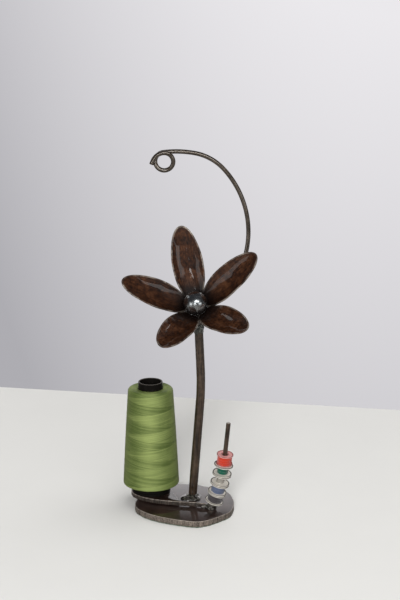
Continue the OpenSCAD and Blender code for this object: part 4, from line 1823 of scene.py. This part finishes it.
@dataclass(frozen=True)
class BobbinKind:
    """A moulded bobbin's sizes.

    Attributes:
        inset: how much thinner a flange is inside its rim.
        dish: how deep its outer face lies inside the rim.
        rounding: how far the corners are rounded.
        pitch: distance from one turn of its thread to the next.
        turn_h: how far a turn stands out.
    """

    diameter: float = 20.5
    height: float = 10.8
    flange: float = 0.9
    hub_r: float = 4.2
    bore_r: float = 3.1
    inset: float = 0.12
    dish: float = 0.16
    rounding: float = 0.22
    pitch: float = 0.46
    turn_h: float = 0.055

    def reel(self) -> Draft:
        """The bobbin, with rounded rims, dished flanges and a raised ring round its bore.

        Returns:
            The bobbin about +Z, its wear marking the rims and hub that the finish darkens with painted shade.
        """
        rim, hub, bore = self.diameter / 2, self.hub_r, self.bore_r
        thick, inside, dish = self.flange, self.flange - self.inset, self.dish
        half = [(bore, 0.5), (bore + 0.5, 0.0), (hub + 1.0, 0.0), (hub + 1.4, dish), (rim - 1.2, dish)]
        half += [(rim - 0.9, 0.0), (rim, 0.0), (rim, thick), (rim - 1.0, inside), (rim - 1.6, inside)]
        half += [(hub + 0.3, inside), (hub, thick + 0.3)]
        rows = softened(half + [(r, self.height - z) for r, z in reversed(half)], self.rounding)
        rows.append(rows[0])
        # Wear here marks painted shade: a thin ring inside each rim, and the hub.
        wear = [1.0 if rim - 1.1 < r < rim - 0.1 else 0.6 if r < hub + 0.1 else 0.0 for r, _ in rows]
        return turned(rows, 72, wear)

    def winding(self, radius: float, seed: float) -> Draft:
        """Thread wound level between the flanges.

        Args:
            radius: the wound thread's largest radius.
            seed: gives each bobbin its own unevenness.

        Returns:
            The wound thread with single turns.
        """
        count, rows = 72, 120
        low, high = self.flange + 0.1, self.height - self.flange - 0.1
        heights = np.linspace(low, high, rows)
        z = heights[:, None]
        angle = round_turn(count)
        turns = self.turn_h * np.abs(np.sin(math.pi * (z / self.pitch - angle / TURN)))
        crown = -0.18 * ((z - (low + high) / 2) / (high - low) * 2) ** 2
        uneven = waves(z, (3.1, 0.07, seed), (1.7, 0.045, 2 * seed))
        r = radius - 0.17 + turns + crown + uneven * (1 + 0.3 * np.sin(angle + seed))
        r = np.where((z < low + 0.25) | (z > high - 0.25), r - 0.2, r)
        core = np.full((1, count), self.hub_r + 0.05)
        levels = np.array([low, *heights, high, low])[:, None]
        return woven(ringed(np.concatenate([core, r, core, core]), levels, angle), ends=False)


@dataclass
class Bobbins(SubAssembly):
    """Five bobbins on the spike, four of them with thread.

    Attributes:
        stacked: name, radius of the thread and its finish, from the lowest bobbin up.
    """

    spike: Spike
    common: BobbinKind = BobbinKind()
    tall: BobbinKind = BobbinKind(diameter=17.8, height=11.4)
    stacked: tuple[tuple[str, float, Wear | None], ...] = (
        ("charcoal", 8.2, Wear.CHARCOAL),
        ("blue", 7.4, Wear.BLUE),
        ("empty", 0.0, None),
        ("green", 5.9, Wear.GREEN),
    )
    red_r: float = 7.9

    def make(self) -> list[Piece]:
        """Makes the bobbins and their threads, each on its own body.

        Returns:
            The pieces, from the lowest bobbin up.
        """
        made = []
        spike, kind = self.spike, self.common
        for k, (name, radius, wear) in enumerate(self.stacked):
            middle = spike.bobbin_start + k * (kind.height + spike.bobbin_gap) + kind.height / 2
            made += self.loaded(name, kind, (middle, -kind.height / 2), Wear.CLEAR, (radius, 1.0 + k, wear))
        at_top = (None, -spike.bend_above - self.tall.height)
        return made + self.loaded("red", self.tall, at_top, Wear.PINK, (self.red_r, 5.0, Wear.RED))

    def loaded(
        self,
        name: str,
        kind: BobbinKind,
        at: tuple[float | None, float],
        plastic: Wear,
        thread: tuple[float, float, Wear | None],
    ) -> list[Piece]:
        """Makes one bobbin and its thread.

        Args:
            name: the bobbin's name.
            kind: its sizes.
            at: its place along the spike's bend, and its shift from there along its own axis.
            plastic: the bobbin's finish.
            thread: the thread's radius, its seed and its finish, or None for an empty bobbin.

        Returns:
            The bobbin, and the thread where there is one.
        """
        radius, seed, yarn = thread
        reel = self.spike.along(kind.reel(), *at)
        made = [self.show(f"reel_{name}", reel, plastic, [f"bobbin_{name}"], f"{name}_bobbin", 30)]
        if yarn is not None:
            wound = self.spike.along(kind.winding(radius, seed), *at)
            made.append(self.show(f"winding_{name}", wound, yarn, [f"thread_{name}"], f"{name}_bobbin", 70))
        return made


@dataclass
class ThreadCone(SubAssembly):
    """The black core and the thread cross-wound on it.

    Attributes:
        lead: rise of a turn in one round.
        pitch: distance from one turn to the next.
        row: distance between two rows of points on the thread's side.
        turn_h: how far a turn stands out, and the upper layer over the lower.
    """

    lip_r: float = 21.0
    lip_h: float = 2.6
    low_r: float = 19.2
    top_r: float = 13.2
    height: float = 125.5
    wall: float = 1.6
    ledge_depth: float = 5.5
    ledge_r: float = 8.0
    gap: float = 0.1
    wound_low: float = 9.8
    wound_high: float = 118.4
    wound_low_r: float = 30.6
    wound_high_r: float = 24.6
    low_round: float = 1.6
    high_round: float = 3.2
    lead: float = 20.0
    pitch: float = 1.3
    row: float = 0.33
    turn_h: float = 0.16

    def core_r(self, z: float) -> float:
        """Outside radius of the core at a height."""
        return self.low_r + (self.top_r - self.low_r) * (z - self.lip_h) / (self.height - self.lip_h)

    def core(self) -> Draft:
        """The moulded core: its lip, thin wall, rounded rim and inner ledge.

        Returns:
            The core about +Z.
        """
        top, ledge, wall = self.height, self.height - self.ledge_depth, self.wall
        under = ledge - wall
        lip, low = self.lip_r, self.low_r
        rows = [(lip - wall, 0), (lip, 0), (lip, self.lip_h), (low + 0.2, self.lip_h)]
        rows += [(self.core_r(z), z) for z in (40, 80, top - 6.6)]
        rows += [(self.core_r(top - 6.3) - 0.25, top - 6.3), (self.core_r(top), top)]
        rows += [(self.top_r - wall, top), (self.core_r(ledge) - wall, ledge), (self.ledge_r, ledge)]
        rows += [(self.ledge_r, under), (self.core_r(under) - wall, under)]
        rows += [(low - wall, self.lip_h), (lip - wall, 0.8)]
        smooth = softened(rows, 0.5, 4)
        smooth.append(smooth[0])
        # Wear marks the top rim, which the finish paints lighter as rubbing and a painted highlight.
        return turned(smooth, 96, [1.0 if z > top - 0.45 else 0.0 for _, z in smooth])

    def section(self) -> tuple[np.ndarray, int, int]:
        """The wound thread's section, from the core out under its foot, up and back in.

        Returns:
            Its points as (radius, height), and the numbers where its side starts and ends.
        """
        low, high = self.wound_low - self.gap, self.wound_high - self.gap
        foot = (self.wound_low_r - self.low_round, low + self.low_round)
        shoulder = (self.wound_high_r - self.high_round, high - self.high_round)
        rows = [(self.core_r(low) + 0.2, low + 0.6), (self.core_r(low) + 0.9, low), (foot[0], low)]
        start = len(rows)
        rows += arc(foot, self.low_round, np.linspace(-80, 0, 6))
        rise = high - low - self.low_round - self.high_round
        steps = round(rise / self.row)
        for t in np.arange(1, steps) / steps:
            r = self.wound_low_r + (self.wound_high_r - self.wound_low_r) * t
            rows.append((r + 0.25 * math.sin(math.pi * t), foot[1] + t * rise))
        rows += arc(shoulder, self.high_round, np.linspace(0, 84, 9))
        end = len(rows)
        inner = self.core_r(high) + 0.15
        for t in np.arange(1, 9) / 8:
            rows.append((shoulder[0] + (inner - shoulder[0]) * t, high - 0.35 * t**2))
        return np.array([*rows, (inner, high - 1.2), rows[0]]), start, end

    def thread(self) -> Draft:
        """The wound thread: turns that rise and turns that fall lie on each other in long wedges.

        Returns:
            The thread about +Z, its wear marking where the rising turns lie on top, which the finish paints
            lighter as painted sheen.
        """
        flat, start, end = self.section()
        out, z = flat[:, :1], flat[:, 1:]
        side, top = np.zeros_like(out), np.zeros_like(out)
        side[start:end] = 1.0
        top[end:-2] = 1.0
        angle = round_turn(200)
        share = angle / TURN
        rising, falling = (z / self.lead - share) % 1, (z / self.lead + share) % 1
        over = 1 / (1 + np.exp(-np.clip((rising - falling) * 5, -30, 30)))
        ridge_up = np.abs(np.sin(math.pi * (z - self.lead * share) / self.pitch))
        ridge_down = np.abs(np.sin(math.pi * (z + self.lead * share) / self.pitch))
        relief = self.turn_h * (ridge_up * over + ridge_down * (1 - over)) + self.turn_h * over
        radial = 0.22 * np.abs(np.sin(angle * 46 + out * 1.7)) * np.abs(np.sin(angle * 31 - out * 2.1))
        rings = ringed(out + (relief - 0.3) * side, z - radial * top, angle)
        loose = 0.25 + 0.5 * (np.abs(np.sin(angle * 23 + out * 2.2)) > 0.6)
        return woven(rings, ends=False, wear=over * side + loose * (1 - side))

    def make(self) -> list[Piece]:
        """Makes the core and the thread on the cone's own body.

        Returns:
            The pieces.
        """
        shift = (*CONE_AXIS, SEAT_TOP + self.gap)
        core, wound = (draft.placed(shift=shift) for draft in (self.core(), self.thread()))
        return [
            self.show("cone_core_shell", core, Wear.CORE, ["cone_core"], "cone"),
            self.show("cone_winding", wound, Wear.CONE, ["cone_thread"], "cone", 75),
        ]


# Studio


@dataclass
class Studio:
    """The table, the soft lights and the camera at the photograph's viewing angle.

    Attributes:
        camera_at: the camera's place in metres.
        pitch: how far the camera looks down.
        lens: its focal length in millimetres, on a frame 36 mm high.
        table_edge: two points of the table's far edge, in metres.
        table: half of the table's width and its depth towards the camera, in metres.
        aim: what the lights look at, in metres.
        away: the lights' distance from there, in metres.
        boxes: name, direction, elevation, width, height and power of each soft box, which the
            gloss mirrors.
        skies: name, direction, elevation, spread and strength of each even light from far off,
            which only falls on matt surfaces.
    """

    camera_at: tuple[float, float, float] = (0.00835, -1.4505, 0.6117)
    pitch: float = 14.7
    lens: float = 85.0
    table_edge: tuple[Point, Point] = ((-0.2672, 0.4082), (0.2708, 0.3118))
    table: Point = (4.0, 7.0)
    aim: tuple[float, float, float] = (0.0, 0.0, 0.18)
    away: float = 1.7
    boxes: tuple[tuple[str, float, float, float, float, float], ...] = (
        ("key_box", -6.0, 10.0, 0.28, 0.24, 1.9),
        ("crown_box", 12.0, 34.0, 1.1, 0.4, 8.0),
        ("left_box", -45.0, 6.0, 0.7, 0.6, 2.2),
        ("right_box", 44.0, 11.0, 0.65, 0.38, 1.7),
        ("back_left_box", -118.0, 34.0, 0.2, 0.3, 0.35),
        ("back_right_box", 128.0, 36.0, 0.25, 0.35, 0.8),
    )
    skies: tuple[tuple[str, float, float, float, float], ...] = (
        ("front_sky", -7.0, 18.0, 20.0, 3.75),
        ("top_sky", 125.0, 72.0, 60.0, 1.8),
    )

    def make(self) -> None:
        """Makes the table, the lights, the backdrop and the camera."""
        self.make_table()
        self.make_backdrop()
        for name, turn, rise, width, height, power in self.boxes:
            data = bpy.data.lights.new(name, "AREA")
            data.shape, data.size, data.size_y, data.energy = "RECTANGLE", width, height, power
            self.hang(data, turn, rise, True)
        for name, turn, rise, spread, strength in self.skies:
            data = bpy.data.lights.new(name, "SUN")
            data.angle, data.energy = math.radians(spread), strength
            self.hang(data, turn, rise, False)
        data = bpy.data.cameras.new("photo_camera")
        data.sensor_width, data.lens = 36.0, self.lens
        camera = linked("photo_camera", data)
        camera.location = self.camera_at
        camera.rotation_euler = (math.radians(90 - self.pitch), 0, 0)
        bpy.context.scene.camera = camera
        bpy.context.scene.view_settings.view_transform = "Standard"
        LOG.info("studio: %d lights", len(self.boxes) + len(self.skies))

    def make_table(self) -> None:
        """The table: a large plain sheet that ends a little behind the rack."""
        (x0, y0), (x1, y1) = self.table_edge
        along = Vector((x1 - x0, y1 - y0, 0)).normalized()
        near = Vector((along.y, -along.x, 0))
        middle = Vector(((x0 + x1) / 2, (y0 + y1) / 2, 0))
        wide, deep = self.table
        spans = ((-wide, 0), (wide, 0), (wide, deep), (-wide, deep))
        places = [middle + along * a + near * b for a, b in spans]
        mesh = bpy.data.meshes.new("table")
        mesh.from_pydata([tuple(place) for place in places], [], [(0, 1, 2, 3)])
        mesh.materials.append(TableFinish("table_white", "").material())
        table = linked("table", mesh)

    def make_backdrop(self) -> None:
        """A pale wall all round, a little brighter up and to the right, and a dimmer room in front."""
        world = bpy.data.worlds.new("studio_room")
        world.use_nodes = True
        desk = Desk(world.node_tree)
        way = desk.node("ShaderNodeTexCoord", output="Generated")
        side, up = desk.part(way, "X"), desk.part(way, "Z")
        wall = desk.ramp(
            side * (2.37 - side * 9.0) + up * 1.78 + 0.95,
            (0.0, (0.42, 0.415, 0.443)),
            (1.0, (0.83, 0.815, 0.84)),
        )
        room = desk.ramp(
            desk.part(way, "Y") * 0.5 + 0.5,
            (0.3, (0.04, 0.04, 0.042)),
            (0.8, (0.12, 0.12, 0.125)),
            (0.93, (0.92, 0.9, 0.92)),
        )
        room = desk.mix(up.between(0.42, 0.65), room, (0.05, 0.05, 0.055))
        values = {"Color": desk.mix(desk.seen(), room, wall), "Strength": 1.0 - 0.86 * desk.soaked()}
        light = desk.node("ShaderNodeBackground", None, values)
        desk.node("ShaderNodeOutputWorld", None, {"Surface": light})
        bpy.context.scene.world = world

    def hang(self, data: bpy.types.Light, turn: float, rise: float, mirrored: bool) -> None:
        """Hangs a light that looks at the rack.

        Args:
            data: the light.
            turn: its direction, to the right of the camera's side.
            rise: its elevation.
            mirrored: whether glossy surfaces mirror it.
        """
        lamp = linked(data.name, data)
        lamp.visible_camera, lamp.visible_glossy = False, mirrored
        t, e = math.radians(turn), math.radians(rise)
        way = Vector((math.sin(t) * math.cos(e), -math.cos(t) * math.cos(e), math.sin(e)))
        lamp.location = Vector(self.aim) + way * self.away
        lamp.rotation_euler = way.to_track_quat("Z", "Y").to_euler()


def corners(found: Iterable[Vector]) -> list[list[float]]:
    """A box's two corners as plain lists of numbers."""
    return [[float(x) for x in corner] for corner in found]


def main() -> None:
    """Builds the rack's sub-assemblies in order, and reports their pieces."""
    logging.basicConfig(level=logging.INFO, format="%(name)s: %(message)s")
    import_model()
    stem, spike = Stem(), Spike()
    hung = (Flower(stem), ThreadHook(stem))
    for group in (Base(), ConeSeat(), stem, *hung, spike, Bobbins(spike), ThreadCone()):
        for piece in group.make():
            LOG.info("%s: %s, %d faces", type(group).__name__, piece.name, len(piece.data.polygons))
    Studio().make()


if __name__ == "__main__":
    main()
